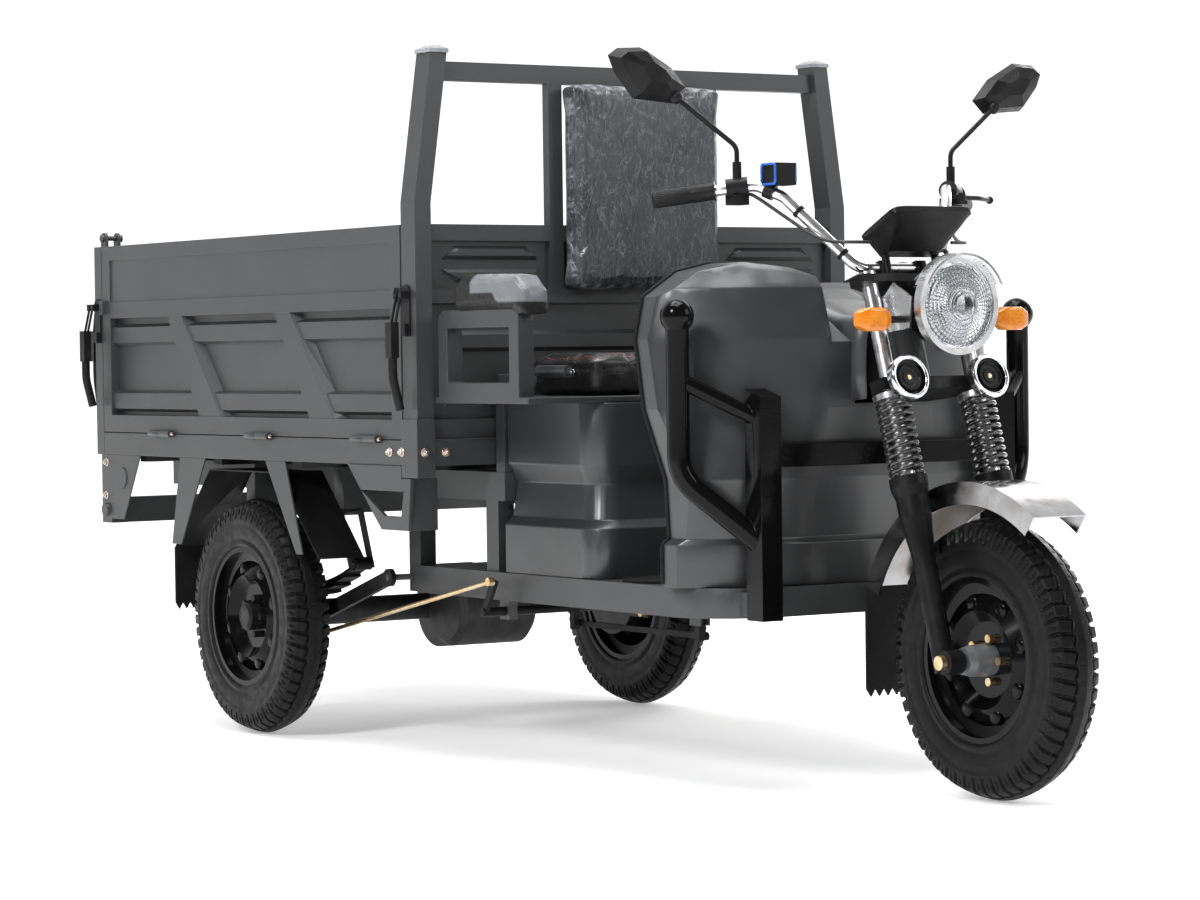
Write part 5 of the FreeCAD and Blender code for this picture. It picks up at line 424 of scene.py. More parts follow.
panel_plastic = Finish("graphite_moulding", (0.034, 0.035, 0.037), 0.33, Metallic=0.25, Coat_Weight=0.25,
                       Coat_Roughness=0.2)
panel_plastic.tint_clouds(3.0, (0.042, 0.043, 0.046)).dull_clouds(11.0, 0.40).grain(1400.0, 0.00006)
panel_plastic.dust(0.3, 0.8, 0.08)

gloss_black = Finish("gloss_black_paint", (0.003, 0.003, 0.0033), 0.08, Specular_IOR_Level=0.13)
gloss_black.dull_clouds(9.0, 0.17).grain(260.0, 0.00005).dust(0.0, 0.6, 0.03)

chassis_black = Finish("chassis_black_paint", (0.0045, 0.0045, 0.0048), 0.34, Specular_IOR_Level=0.14)
chassis_black.tint_clouds(12.0, (0.010, 0.010, 0.011)).dull_clouds(25.0, 0.5).grain(350.0, 0.0002)
chassis_black.dust(0.1, 0.6, 0.06)
print("painted finishes", len(Finish.made))

# %% [markdown]
# Small fittings are black moulded plastic with a pebbled grain. Tyres, flaps and
# mats are rubber: nearly black, dull, and the first thing to hold dust.

# %% Plastics and rubber
black_plastic = Finish("black_moulding", (0.006, 0.006, 0.0064), 0.32, Specular_IOR_Level=0.14)
black_plastic.tint_clouds(18.0, (0.011, 0.011, 0.012)).dull_clouds(40.0, 0.46).grain(1500.0, 0.0001)

tyre_rubber = Finish("tyre_rubber", (0.0045, 0.0045, 0.0047), 0.33, Specular_IOR_Level=0.13)
tyre_rubber.tint_clouds(16.0, (0.007, 0.007, 0.0073)).dull_clouds(60.0, 0.5).grain(800.0, 0.0002)
tyre_rubber.dust(-0.1, 0.6, 0.02)

flap_rubber = Finish("flap_rubber", (0.005, 0.005, 0.0053), 0.6, Specular_IOR_Level=0.15)
flap_rubber.tint_clouds(14.0, (0.009, 0.009, 0.0094)).grain(500.0, 0.0003).dust(0.1, 0.6, 0.06)
print("finishes so far", len(Finish.made))

# %% [markdown]
# The bright parts are chrome on the fork, bars, horns and lamp ring, and plated
# fasteners with the yellow tint of zinc. Both are metals, so their colour is in
# the reflection, and only faint smears break it up.

# %% Metals
chrome = Finish("chrome_plate", (0.74, 0.75, 0.76), 0.07, Metallic=1.0)
chrome.dull_clouds(22.0, 0.14).tint_clouds(7.0, (0.62, 0.63, 0.65))

satin_chrome = Finish("satin_chrome", (0.80, 0.80, 0.81), 0.24, Metallic=1.0)
satin_chrome.dull_clouds(30.0, 0.32)

zinc = Finish("yellow_zinc", (0.66, 0.46, 0.22), 0.28, Metallic=1.0)
zinc.tint_clouds(60.0, (0.72, 0.60, 0.42)).dull_clouds(90.0, 0.42)

steel = Finish("bright_steel", (0.42, 0.42, 0.43), 0.12, Metallic=1.0)
steel.tint_clouds(9.0, (0.30, 0.28, 0.265)).dull_clouds(24.0, 0.24)

cast_metal = Finish("cast_housing", (0.018, 0.018, 0.019), 0.5, Metallic=0.5)
cast_metal.tint_clouds(30.0, (0.030, 0.030, 0.031)).grain(600.0, 0.0005).dust(0.05, 0.55, 0.12)

hub_grey = Finish("hub_grey_paint", (0.17, 0.175, 0.185), 0.42, Metallic=0.4)
hub_grey.tint_clouds(50.0, (0.22, 0.225, 0.235)).grain(700.0, 0.0002)

cap_grey = Finish("grey_cap_moulding", (0.20, 0.21, 0.225), 0.38)
cap_grey.tint_clouds(30.0, (0.26, 0.27, 0.285)).grain(1200.0, 0.0001)
print("finishes so far", len(Finish.made))

# %% [markdown]
# Lamp glass is clear, and the signal and tail lenses are coloured plastic with a
# pressed pattern. The rear shell of a signal is black, so its finish changes at a
# plane across the vehicle. The floor glows a little, more so away from the wheels,
# and so it runs into the white backdrop without a line.

# %% Lamp finishes and the floor
SHELL_FROM, SHELL_TO = 1.1385, 1.1395
GLOW_FROM, GLOW_TO = 1.3, 4.5
lamp_glass = Finish("clear_lamp_glass", (0.96, 0.97, 0.98), 0.03, Transmission_Weight=1.0, IOR=1.45)
lamp_glass.dull_clouds(20.0, 0.06)

amber_lens = Finish("amber_lens", (0.62, 0.165, 0.004), 0.14, Coat_Weight=0.4)
amber_lens.tint_clouds(40.0, (0.70, 0.23, 0.008)).grain(240.0, 0.0008)
place = amber_lens.tree.nodes.new("ShaderNodeSeparateXYZ")
amber_lens.tree.links.new(amber_lens.place, place.inputs[0])
shell = ramp(amber_lens.tree, place.outputs["X"], SHELL_FROM, SHELL_TO, 1.0, 0.0)
amber_lens.tint(shell, (0.006, 0.006, 0.006))

red_lens = Finish("red_lens", (0.42, 0.012, 0.010), 0.16, Coat_Weight=0.5)
red_lens.tint_clouds(40.0, (0.55, 0.03, 0.02)).grain(240.0, 0.0008)

studio_white = Finish("studio_floor_white", (0.90, 0.90, 0.90), 0.8, Emission_Strength=1.0)
spread = studio_white.tree.nodes.new("ShaderNodeVectorMath")
spread.operation = "LENGTH"
studio_white.tree.links.new(studio_white.place, spread.inputs[0])
studio_white.tree.links.new(ramp(studio_white.tree, spread.outputs["Value"], GLOW_FROM, GLOW_TO, 0.34, 0.88),
                            studio_white.shader.inputs["Emission Color"])
studio_white.tint_clouds(0.6, (0.905, 0.905, 0.905))
coat(floor, studio_white)
print("finishes so far", len(Finish.made))

# %% [markdown]
# The steel and the mouldings are right as they come from the drawing, so they
# stay, and only take a finish. The list reads as a paint shop would: finish
# first, then every node that gets it.

# %% Finish the nodes that stay
paint_shop = {
    body_paint: ["bed_frame", "right_side_board", "left_side_board", "rear_posts", "tailgate", "headboard",
                 "rear_valance", "side_brackets", "seat_frame", "chassis_frame"],
    panel_plastic: ["leg_shield", "seat_box", "parking_brake_lever"],
    gloss_black: ["crash_guard", "rear_right_rim", "rear_left_rim", "front_rim"],
    chassis_black: ["radius_rods", "steering_stem", "fork_sliders", "brake_pedal", "brake_link",
                    "brake_cross_shaft", "rear_right_hub", "rear_left_hub", "rear_mudguards"],
    cast_metal: ["rear_axle"],
    black_plastic: ["bed_fittings", "front_right_latch", "front_left_latch", "rear_right_latch",
                    "rear_left_latch", "gate_right_latch", "gate_left_latch", "throttle_grip",
                    "handlebar_switches", "brake_lever", "right_mirror", "left_mirror"],
    flap_rubber: ["mud_flaps", "front_flap"],
    steel: ["front_mudguard"],
    satin_chrome: ["fork_tubes", "handlebar", "headlamp"],
    chrome: ["horns"],
    hub_grey: ["front_hub"],
    zinc: ["brake_rods"],
}
for finish, names in paint_shop.items():
    for name in names:
        nodes[name].data.materials.clear()
        coat(nodes[name], finish)


def zones(name, finishes, choose):
    """More finishes on a node: choose(x, y, z, normal) gives each face a slot; millimetres off the axle."""
    mesh = nodes[name].data
    turn = np.array(nodes[name].matrix_world)
    centre, normal = np.empty((2, len(mesh.polygons) * 3))
    mesh.polygons.foreach_get("center", centre)
    mesh.polygons.foreach_get("normal", normal)
    centre = (centre.reshape(-1, 3) @ turn[:3, :3].T + turn[:3, 3] - [AXLE_X, 0, 0]) * 1000
    for finish in finishes:
        coat(nodes[name], finish)
    slots = choose(*centre.T, normal.reshape(-1, 3) @ turn[:3, :3].T)
    mesh.polygons.foreach_set("material_index", np.asarray(slots, np.int32))


SPINDLE_X, SPINDLE_Z = 2040, 273


def from_spindle(x, z):
    """Distance from the front spindle, the root of x squared and z squared, in millimetres."""
    return np.hypot(x - SPINDLE_X, z - SPINDLE_Z)


def nut_zone(x, y, z, n):
    """The ring of wheel nuts on the right face of the front hub."""
    r = from_spindle(x, z)
    return (y < -13.5) & (y > -28.5) & (r > 35.5) & (r < 52.5)


def tail_lamp_zone(x, y, z, n):
    """The two lamps on the rear face of the valance."""
    return (x < -745.2) & (np.abs(y) > 379) & (np.abs(y) < 501) & (z < 523)


zones("front_hub", [zinc], nut_zone)
zones("fork_sliders", [zinc], lambda x, y, z, n: (np.abs(y) > 125) & (from_spindle(x, z) < 15))
zones("bed_fittings", [body_paint], lambda x, y, z, n: z < 800)
zones("headboard", [cap_grey], lambda x, y, z, n: z > 1520.5)
zones("rear_valance", [red_lens], tail_lamp_zone)
print("nodes with a finish", sum(len(names) for names in paint_shop.values()))

# %% [markdown]
# Folded sheet and moulded plastic never end in a knife edge. A small bevel on
# every edge sharper than 35 degrees, or 9 to 12 on the mouldings, catches the
# light along posts, ribs and rails. The drawn faces are first joined along their
# common edges, or the bevel would have nothing to round.

# %% Softened edges
folded = {"bed_frame": 1.6, "right_side_board": 3.0, "left_side_board": 3.0, "rear_posts": 2.0,
          "tailgate": 1.6, "headboard": 2.2, "rear_valance": 1.5, "side_brackets": 1.6, "seat_frame": 2.4,
          "chassis_frame": 2.4, "rear_mudguards": 1.0, "leg_shield": 4.0, "seat_box": 3.0, "crash_guard": 2.2}
SHARP = 35
facets = {"leg_shield": 9, "seat_box": 12}
for name, width in folded.items():
    joined = nodes[name].modifiers.new("joined_faces", "WELD")
    joined.merge_threshold = 0.00002
    rounded = nodes[name].modifiers.new("rounded_edges", "BEVEL")
    rounded.width, rounded.segments, rounded.limit_method = width / 1000, 2, "ANGLE"
    rounded.angle_limit = math.radians(facets.get(name, SHARP))
    rounded.use_clamp_overlap, rounded.harden_normals = True, True
bare = sorted(set(nodes) - {name for names in paint_shop.values() for name in names})
print("still to be made:", bare)

# %% [markdown]
# The tyres carry most of the character of the front view. A wide middle rib has
# zigzag edges, deep grooves run beside it, and hooked blocks stand round each
# shoulder with a small slot in the side of every block. All of that is one
# surface: a cross-section of arcs turned about the wheel, then pressed in along
# its own normal wherever the tread pattern says groove.

# %% Tyres with their tread
def arc_between(p, q, radius, count):
    """Points on a circle of a radius from p to q, bulging to the left of the way from p to q."""
    p, q = np.asarray(p, float), np.asarray(q, float)
    chord = q - p
    half = np.linalg.norm(chord) / 2
    out = np.array([-chord[1], chord[0]]) / (2 * half)
    centre = (p + q) / 2 - out * math.sqrt(radius ** 2 - half ** 2)
    a, b = (math.atan2(*(v - centre)[::-1]) for v in (p, q))
    b = a + (b - a + math.pi) % (2 * math.pi) - math.pi
    angle = np.linspace(a, b, count)
    return centre + radius * np.stack([np.cos(angle), np.sin(angle)], -1)


def tooth(x):
    """Triangle wave from 0 to 1 and back once per unit."""
    return 2 * np.abs(x % 1 - 0.5)


def step(low, high, x):
    """Smooth step from 0 to 1 between two values."""
    t = np.clip((x - low) / (high - low), 0, 1)
    return t * t * (3 - 2 * t)


BLOCKS = 54


def tyre_points(columns):
    """Cross-section (y, r) turned about Y; groove depth is taken off along the section's normal."""
    left = [arc_between((-46.6, 161), (-47.4, 178), 12, 5)[:-1],
            arc_between((-47.4, 178), (-50, 214), 110, 11)[:-1],
            arc_between((-50, 214), (-43, 256), 70, 15)[:-1],
            arc_between((-43, 256), (0, 273), 150, 27)[:-1]]
    half = np.concatenate(left)
    section = np.concatenate([half, [[0, 273]], half[::-1] * [-1, 1], [[34, 168], [-34, 168]]])
    slope = np.gradient(section, axis=0)
    normal = np.stack([-slope[:, 1], slope[:, 0]], -1)
    normal /= np.linalg.norm(normal, axis=1, keepdims=True)
    y, r = section[:, :1], section[:, 1:]
    turn = np.linspace(0, 2 * math.pi, columns, endpoint=False)[None, :]
    side = np.sign(y)
    wide = np.abs(y)
    phase = turn * BLOCKS / (2 * math.pi) + 0.25 * side
    tread = step(226, 236, r)
    rib_edge = 15.5 + 4.0 * tooth(phase + 0.1)
    middle_groove = step(rib_edge, rib_edge + 1.2, wide) * (1 - step(rib_edge + 3.6, rib_edge + 4.8, wide))
    across = (phase + 0.006 * (wide - 20)) % 1
    slot = step(0.0, 0.05, across) * (1 - step(0.26, 0.31, across)) * step(rib_edge, rib_edge + 1, wide)
    hook = np.maximum(middle_groove, slot)
    window = (step(0.48, 0.52, across) * (1 - step(0.72, 0.76, across))
              * step(236, 238, r) * (1 - step(249, 251, r)) * (wide > 40))
    fine = (step(0.47, 0.5, (phase + 0.5) % 1) * (1 - step(0.5, 0.53, (phase + 0.5) % 1)) * (wide < 13)
            * step(3, 5, wide))
    ring = np.exp(-((r - 222) / 1.2) ** 2) + np.exp(-((r - 190) / 1.0) ** 2)
    depth = tread * (8.5 * hook + 2.6 * window + 1.2 * fine) - 0.9 * ring * (r < 240)
    depth = depth * (np.abs(section[:, :1]) > 0) * (r > 170)
    y2 = y - normal[:, :1] * depth
    r2 = r - normal[:, 1:] * depth
    return np.stack([r2 * np.sin(turn), np.broadcast_to(y2, r2.shape), r2 * np.cos(turn)], -1) / 1000


tread_points = tyre_points(BLOCKS * 16)
rows, columns = tread_points.shape[:2]
tread_faces = grid_faces(rows, columns, wrap_rows=True, wrap_columns=True)
wheels = {"rear_right_tyre": "right_wheel", "rear_left_tyre": "left_wheel", "front_tyre": "front_wheel"}
for node, body in wheels.items():
    low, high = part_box(node)
    middle = np.array((low + high) / 2)
    tyre = coat(mesh_piece(node + "_tread", tread_points + middle, tread_faces), tyre_rubber)
    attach(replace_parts(tyre, node), body)
print("tyre grid", rows, "x", columns)

# %% [markdown]
# A tube is a ring of points carried along a path. Each ring stands square to the
# path and keeps one reference direction, which is enough for springs, trims and
# handles that never turn straight along it.

# %% Tubes along a path
def tube_points(path, radius, sides=12, reference=(0, 0, 1)):
    """Rings of a radius about each path point, square to the path; the radius may vary along it."""
    path = np.asarray(path, float)
    ahead = np.gradient(path, axis=0)
    ahead /= np.linalg.norm(ahead, axis=1, keepdims=True)
    aside = np.cross(ahead, np.asarray(reference, float))
    aside /= np.linalg.norm(aside, axis=1, keepdims=True)
    above = np.cross(aside, ahead)
    angle = np.linspace(0, 2 * math.pi, sides, endpoint=False)
    radius = np.broadcast_to(radius, len(path))[:, None, None]
    return path[:, None] + radius * (np.cos(angle)[None, :, None] * aside[:, None]
                                     + np.sin(angle)[None, :, None] * above[:, None])


def capped(points, first=0):
    """Faces of a tube grid with a flat cap on each end, pointing outwards."""
    rows, sides = points.shape[:2]
    faces = [f[::-1] for f in grid_faces(rows, sides, wrap_columns=True, first=first)]
    faces.append([first + i for i in range(sides)])
    faces.append([first + rows * sides - 1 - i for i in range(sides)])
    return faces


def gather(name, grids, smooth=True):
    """Several capped tube grids as one mesh."""
    points, faces, first = [], [], 0
    for grid in grids:
        points.append(grid.reshape(-1, 3))
        faces += capped(grid, first)
        first += grid.shape[0] * grid.shape[1]
    return mesh_piece(name, np.concatenate(points), faces, smooth)


# %% [markdown]
# The fork springs are one wire each, wound ten times between the seat on the
# tube and the collar of the lower leg. The end coils lie nearly closed, so the
# pitch eases in over the first turn.

# %% Fork springs
def coil_path(long, top, turns=10, mean=31.5, wire=4.5, closed=10.0, steps=28):
    """Helix whose pitch rises from closed to full over one turn at each end."""
    t = np.linspace(0, turns, turns * steps + 1)
    eased = np.minimum(np.minimum(t, turns - t), 1)
    rise = long - 2 * wire
    area = np.sum((eased[1:] + eased[:-1]) / 2 * np.diff(t))
    pitch = closed + (rise - closed * turns) / area * eased
    z = np.concatenate([[0], np.cumsum((pitch[1:] + pitch[:-1]) / 2 * np.diff(t))]) - top - long + wire
    return mean * np.cos(2 * math.pi * t), mean * np.sin(2 * math.pi * t), z


LEG_AHEAD, LEG_OUT, COIL_TOP, COIL_LONG, FORK_TRAVEL = 45, 106, 8, 157, 50
coil_x, coil_y, coil_z = coil_path(long=COIL_LONG, top=COIL_TOP)
coils = [tube_points(on_fork(LEG_AHEAD + coil_x, side * LEG_OUT + coil_y, coil_z), 0.0045, 12, steer_axis)
         for side in (-1, 1)]
springs = gather("fork_coils", coils)
spring_black = Finish("spring_black", (0.012, 0.012, 0.013), 0.16, Coat_Weight=0.6)
spring_black.dull_clouds(50.0, 0.28)
coat(springs, spring_black)
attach(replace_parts(springs, "fork_springs"), "steering")
on_fork(LEG_AHEAD, 0, -COIL_TOP)
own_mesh(springs)
print("spring points", len(springs.data.vertices))

# %% [markdown]
# Each leaf pack bows up between the axle and the eyes on the frame. It is cut
# at the middle into a front and a rear half, each running from the clamp on the
# axle to the eye that hangs on the frame.

# %% Leaf springs
EYE_REACH, EYE_Z, PACK_OUT = 270, 400, 405


def leaf_grid(y, number, way):
    """A leaf on a circle about a point above the axle, from the clamp to its tip, as a bar section."""
    thick, reach, bow, crest = 7.0, EYE_REACH - 46 * number, 657.4 + 7 * number, 999.4
    x = np.linspace(0, reach, 25)
    angle = np.arcsin(x / bow)
    edge = np.array([(-22.5, 1), (-21.5, 0), (21.5, 0), (22.5, 1), (22.5, thick - 0.5), (21.5, thick - 0.1),
                     (-21.5, thick - 0.1), (-22.5, thick - 0.5)])
    deep = bow + edge[None, :, 1]
    px = way * deep * np.sin(angle)[:, None]
    pz = crest - deep * np.cos(angle)[:, None]
    points = at(px, y + edge[None, :, 0] + 0 * px, pz)
    return points[:, ::way]


def eye_grid(y, way):
    """A rolled eye: a closed ring section turned about the pin."""
    angle = np.linspace(0, 2 * math.pi, 33)
    edge = np.array([(7.4, -22.5), (14, -22.5), (15, -21.5), (15, 21.5), (14, 22.5), (7.4, 22.5)])
    x = way * EYE_REACH + edge[None, :, 0] * np.cos(angle)[:, None]
    z = EYE_Z + edge[None, :, 0] * np.sin(angle)[:, None]
    return at(x, y + edge[None, :, 1] + 0 * x, z)


for y, label in ((-PACK_OUT, "right"), (PACK_OUT, "left")):
    for way, end in ((1, "front"), (-1, "rear")):
        leaves = [leaf_grid(y, i, way) for i in range(4)]
        pack = coat(gather(f"leaf_spring_{label}_{end}", leaves + [eye_grid(y, way)], False), chassis_black)
        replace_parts(pack, "leaf_springs")
        at(way * 262, y, EYE_Z)
        at(way * 40, y, 342)
        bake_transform(pack)

# %% [markdown]
# Two control cables leave the switch pods, dip under the bend of the bar and go
# into the dial case. They are held at both ends, so each is a smooth spline
# through the same few points as the drawing, with a round section.

# %% Control cables
def held_cable(name, route, radius):
    """A curve of one open NURBS spline of order 3 with a round section, through its end points."""
    curve = bpy.data.curves.new(name, "CURVE")
    curve.dimensions = "3D"
    curve.bevel_depth, curve.bevel_resolution, curve.resolution_u = radius, 4, 16
    curve.use_fill_caps = True
    spline = curve.splines.new("NURBS")
    spline.points.add(len(route) - 1)
    spline.points.foreach_set("co", np.concatenate([route, np.ones((len(route), 1))], 1).ravel())
    spline.use_endpoint_u = True
    spline.order_u = 3
    piece = bpy.data.objects.new(name, curve)
    scene.collection.objects.link(piece)
    return piece


cable_jacket = Finish("cable_jacket", (0.012, 0.012, 0.012), 0.4)
cable_jacket.dull_clouds(80.0, 0.55).grain(2200.0, 0.0001)
for side, label in ((-1, "right"), (1, "left")):
    route = at([1596.5, 1600, 1640, 1722, 1796, 1796], side * np.array([251.7, 246.9, 214, 168, 150, 100]),
               [1185.8, 1186.5, 1150, 1088, 1085, 1085])
    cable = coat(held_cable(f"control_cable_{label}", route, 0.0035), cable_jacket)
    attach(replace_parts(cable, "control_cables"), "steering")
    print(label, "cable points", len(route))

# %% [markdown]
# Padded pieces start as a rounded block a little smaller than the finished pad,
# are remeshed to an even skin and are then blown up gently as cloth, so that the
# sides pull in between the corners as a sewn cover does. How far a point may move
# is capped, because cloth under pressure would otherwise turn into a balloon.

# %% Padded forms
def rounded_block(half, plan, side, rows=72, columns=144):
    """Superellipsoid: cosines and sines raised to a small power give a block with round edges."""
    v = np.linspace(-math.pi / 2, math.pi / 2, rows)[1:-1, None]
    u = np.linspace(-math.pi, math.pi, columns, endpoint=False)[None, :]
    x = half[0] * bend(np.cos(v), side) * bend(np.cos(u), plan)
    y = half[1] * bend(np.cos(v), side) * bend(np.sin(u), plan)
    z = half[2] * bend(np.sin(v), side) + 0 * u
    points = np.stack([x, y, z], -1)
    faces = grid_faces(*points.shape[:2], wrap_columns=True)
    count = points.shape[0] * columns
    faces.append(list(range(columns))[::-1])
    faces.append(list(range(count - columns, count)))
    return points.reshape(-1, 3), faces


def coordinates(piece):
    """The vertex places of a mesh as an array."""
    found = np.empty(len(piece.data.vertices) * 3)
    piece.data.vertices.foreach_get("co", found)
    return found.reshape(-1, 3)


def blown_up(piece, voxel, pressure, reach):
    """Even skin by remeshing, then Cloth with inner pressure and no weight; no point moves past reach."""
    remesh = piece.modifiers.new("skin", "REMESH")
    remesh.mode, remesh.voxel_size = "VOXEL", voxel
    settle(piece)
    before = coordinates(piece)
    cloth = piece.modifiers.new("cover", "CLOTH")
    cloth.settings.use_pressure = True
    cloth.settings.uniform_pressure_force = pressure
    cloth.settings.effector_weights.gravity = 0
    cloth.point_cache.frame_start, cloth.point_cache.frame_end = 1, 20
    for number in range(1, 21):
        scene.frame_set(number)
    settle(piece)
    scene.frame_set(1)
    moved = coordinates(piece) - before
    far = np.linalg.norm(moved, axis=1, keepdims=True)
    before = before + moved * np.minimum(1, reach / np.maximum(far, 1e-9))
    return before


def settle(piece):
    """Apply the piece's modifiers to its mesh."""
    done = bpy.data.meshes.new_from_object(piece.evaluated_get(bpy.context.evaluated_depsgraph_get()))
    piece.modifiers.clear()
    piece.data = done


def replace_points(piece, points):
    """Write an array of places back to a mesh, smooth shaded."""
    piece.data.vertices.foreach_set("co", np.asarray(points, float).ravel())
    piece.data.polygons.foreach_set("use_smooth", np.ones(len(piece.data.polygons), bool))
    piece.data.update()


# %% [markdown]
# The seat is a sewn vinyl cushion on a flat board. Its welt and the two sewn
# channels are pressed into the skin after the cloth has settled, because the
# remeshing would smooth them away, and the foot is kept flat on the board.

# %% Seat cushion
vinyl = Finish("seat_vinyl", (0.011, 0.011, 0.012), 0.34, Coat_Weight=0.25, Coat_Roughness=0.2)
vinyl.tint_clouds(9.0, (0.018, 0.018, 0.019)).grain(700.0, 0.00025)
vinyl.bump(vinyl.fault(creases_and_ridge_highlight, "Height", Scale=9.0, Stretch=1.5), 0.0012, 0.6)
vinyl.dull_clouds(35.0, 0.46)

low, high = drawn_box("seat_cushion")
middle, half = (low + high) / 2, (high - low) / 2
points, faces = rounded_block(half - [0.006, 0.006, 0.004], 0.16, 0.2)
cushion = mesh_piece("seat_cushion_cover", points + middle, faces)
skin = blown_up(cushion, 0.006, 4.0, 0.012)
rel = (skin - middle) / half
near_side = step(0.86, 0.97, np.maximum(abs(rel[:, 0]), abs(rel[:, 1])))
welt = np.exp(-((rel[:, 2] - 0.42) / 0.07) ** 2) * near_side
channel = np.exp(-((np.abs(rel[:, 1]) - 0.42) / 0.012) ** 2) * step(0.5, 0.8, rel[:, 2])
skin[:, :2] -= welt[:, None] * 0.0045 * np.sign(rel[:, :2]) * (np.abs(rel[:, :2]) > 0.86)
skin[:, 2] -= channel * 0.005
skin = np.clip(skin, low + [-0.004, -0.004, 0.0005], high + [0.004, 0.004, 0.006])
replace_points(cushion, skin)
coat(cushion, vinyl)
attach(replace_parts(cushion, "seat_cushion"), "frame")
print("cushion points", len(skin), "box", skin.min(0).round(3), skin.max(0).round(3))

# %% [markdown]
# The back pad is still wrapped in clear film. The film is drawn tight at the
# corners and lies in long creases down the front, so the creases are pressed
# into the mesh as ridges of a few warped waves, and the finer ones come from the
# finish. The finish paints a highlight on the crease ridges, and a brighter
# painted highlight along the film's edges that is strongest on the front.

# %% Back pad in its film
film = Finish("film_over_black_pad", (0.028, 0.030, 0.034), 0.3, Coat_Weight=0.2, Coat_Roughness=0.15)
film.tint_clouds(9.0, (0.042, 0.045, 0.051))
# Painted highlight: the crease ridges are lightened, in a coarse and a fine size.
film.tint(film.fault(creases_and_ridge_highlight, "Mask", Scale=15.0, Width=0.03), (0.10, 0.105, 0.116))
film.tint(film.fault(creases_and_ridge_highlight, "Mask", Scale=34.0, Width=0.018), (0.12, 0.126, 0.138))
# Painted highlight along the film's edges, read from a point attribute.
film_edge_highlight = film.tree.nodes.new("ShaderNodeAttribute")
film_edge_highlight.attribute_name = "film_edge_highlight"
film.tint(film_edge_highlight.outputs["Fac"], (0.34, 0.355, 0.38))
film.bump(film.fault(creases_and_ridge_highlight, "Height", Scale=15.0, Stretch=2.5), 0.0008)
film.bump(film.fault(creases_and_ridge_highlight, "Height", Scale=34.0, Stretch=2.0), 0.0003)
film.dull_clouds(60.0, 0.42)

low, high = drawn_box("seat_back")
middle, half = (low + high) / 2, (high - low) / 2
points, faces = rounded_block(half - [0.003, 0.004, 0.004], 0.16, 0.05)
back = mesh_piece("seat_back_cover", points + middle, faces)
skin = blown_up(back, 0.0045, 3.0, 0.008)
y, z = skin[:, 1], skin[:, 2]
wave = (np.sin(95 * y + 5 * np.sin(9 * z) + 3 * np.sin(23 * z + 40 * y))
        + 0.6 * np.sin(190 * y - 30 * z + 4 * np.sin(17 * z))
        + 0.5 * np.sin(70 * z + 60 * y + 3 * np.sin(31 * y)))
ridge = np.exp(-(wave / 0.35) ** 2)
front = step(0.2, 0.8, (skin[:, 0] - middle[0]) / half[0])
skin[:, 0] += front * (0.0009 * ridge - 0.0005)
skin = np.clip(skin, low + [0.0006, -0.004, -0.004], high + [0.006, 0.004, 0.004])
replace_points(back, skin)
# Painted highlight along the film's edges: a ragged band inside the outline, brighter on the points that face
# forward, stored as a point attribute.
inner = np.maximum(np.abs(skin[:, 1] - middle[1]) / half[1], np.abs(skin[:, 2] - middle[2]) / half[2])
ragged = (inner + 0.018 * np.sin(160 * skin[:, 1] + 90 * skin[:, 2])
          + 0.012 * np.sin(410 * skin[:, 2] - 170 * skin[:, 1]))
rim = step(0.962, 0.985, ragged) * (0.3 + 0.6 * front)
back.data.attributes.new("film_edge_highlight", "FLOAT", "POINT").data.foreach_set("value", rim)
coat(back, film)
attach(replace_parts(back, "seat_back"), "frame")
print("back points", len(skin))

# %% [markdown]
# The armrest pads are skinned straight from the drawing's pads, so they sit on
# the tubes just as drawn, and are eased round by the cloth. A clear cap of film
# covers the front of each pad. Its edge is worked out per point and stored with
# the mesh, and the finish reads it as a mask.

# %% Armrest pads
wrapped_pad = Finish("armrest_with_film_cap", (0.007, 0.007, 0.0075), 0.42, Specular_IOR_Level=0.25)
cap_mask = wrapped_pad.tree.nodes.new("ShaderNodeAttribute")
cap_mask.attribute_name = "film_cap"
wrapped_pad.tint(cap_mask.outputs["Fac"], (0.15, 0.157, 0.17))
wrapped_pad.dull(cap_mask.outputs["Fac"], 0.2)
wrapped_pad.bump(wrapped_pad.fault(creases_and_ridge_highlight, "Height", Scale=26.0), 0.0004)

pads = bpy.data.objects.new("armrest_pad_covers", nodes["armrest_pads"].data.copy())
pads.data.transform(nodes["armrest_pads"].matrix_world)
scene.collection.objects.link(pads)
skin = blown_up(pads, 0.003, 2.0, 0.003)
low, high = drawn_box("armrest_pads")
skin = np.clip(skin, low - 0.002, high + 0.002)
x, z = (skin[:, 0] - AXLE_X) * 1000, skin[:, 2] * 1000
edge = 1000 - 20 * step(1088, 1112, x)
cap = step(1000, 1006, x) * step(0, 3, z - edge)
replace_points(pads, skin)
pads.data.materials.clear()
coat(pads, wrapped_pad)
pads.data.attributes.new("film_cap", "FLOAT", "POINT").data.foreach_set("value", cap)
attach(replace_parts(pads, "armrest_pads"), "frame")
print("armrest points", len(skin))

# %% [markdown]
# Stitches run along the front and sides of the cushion's top. Each is a short
# capsule laid on the finished skin: a ray is dropped on the cover, and where it
# lands the stitch lies flat along the seam.

# %% Stitching on the cushion
from mathutils.bvhtree import BVHTree

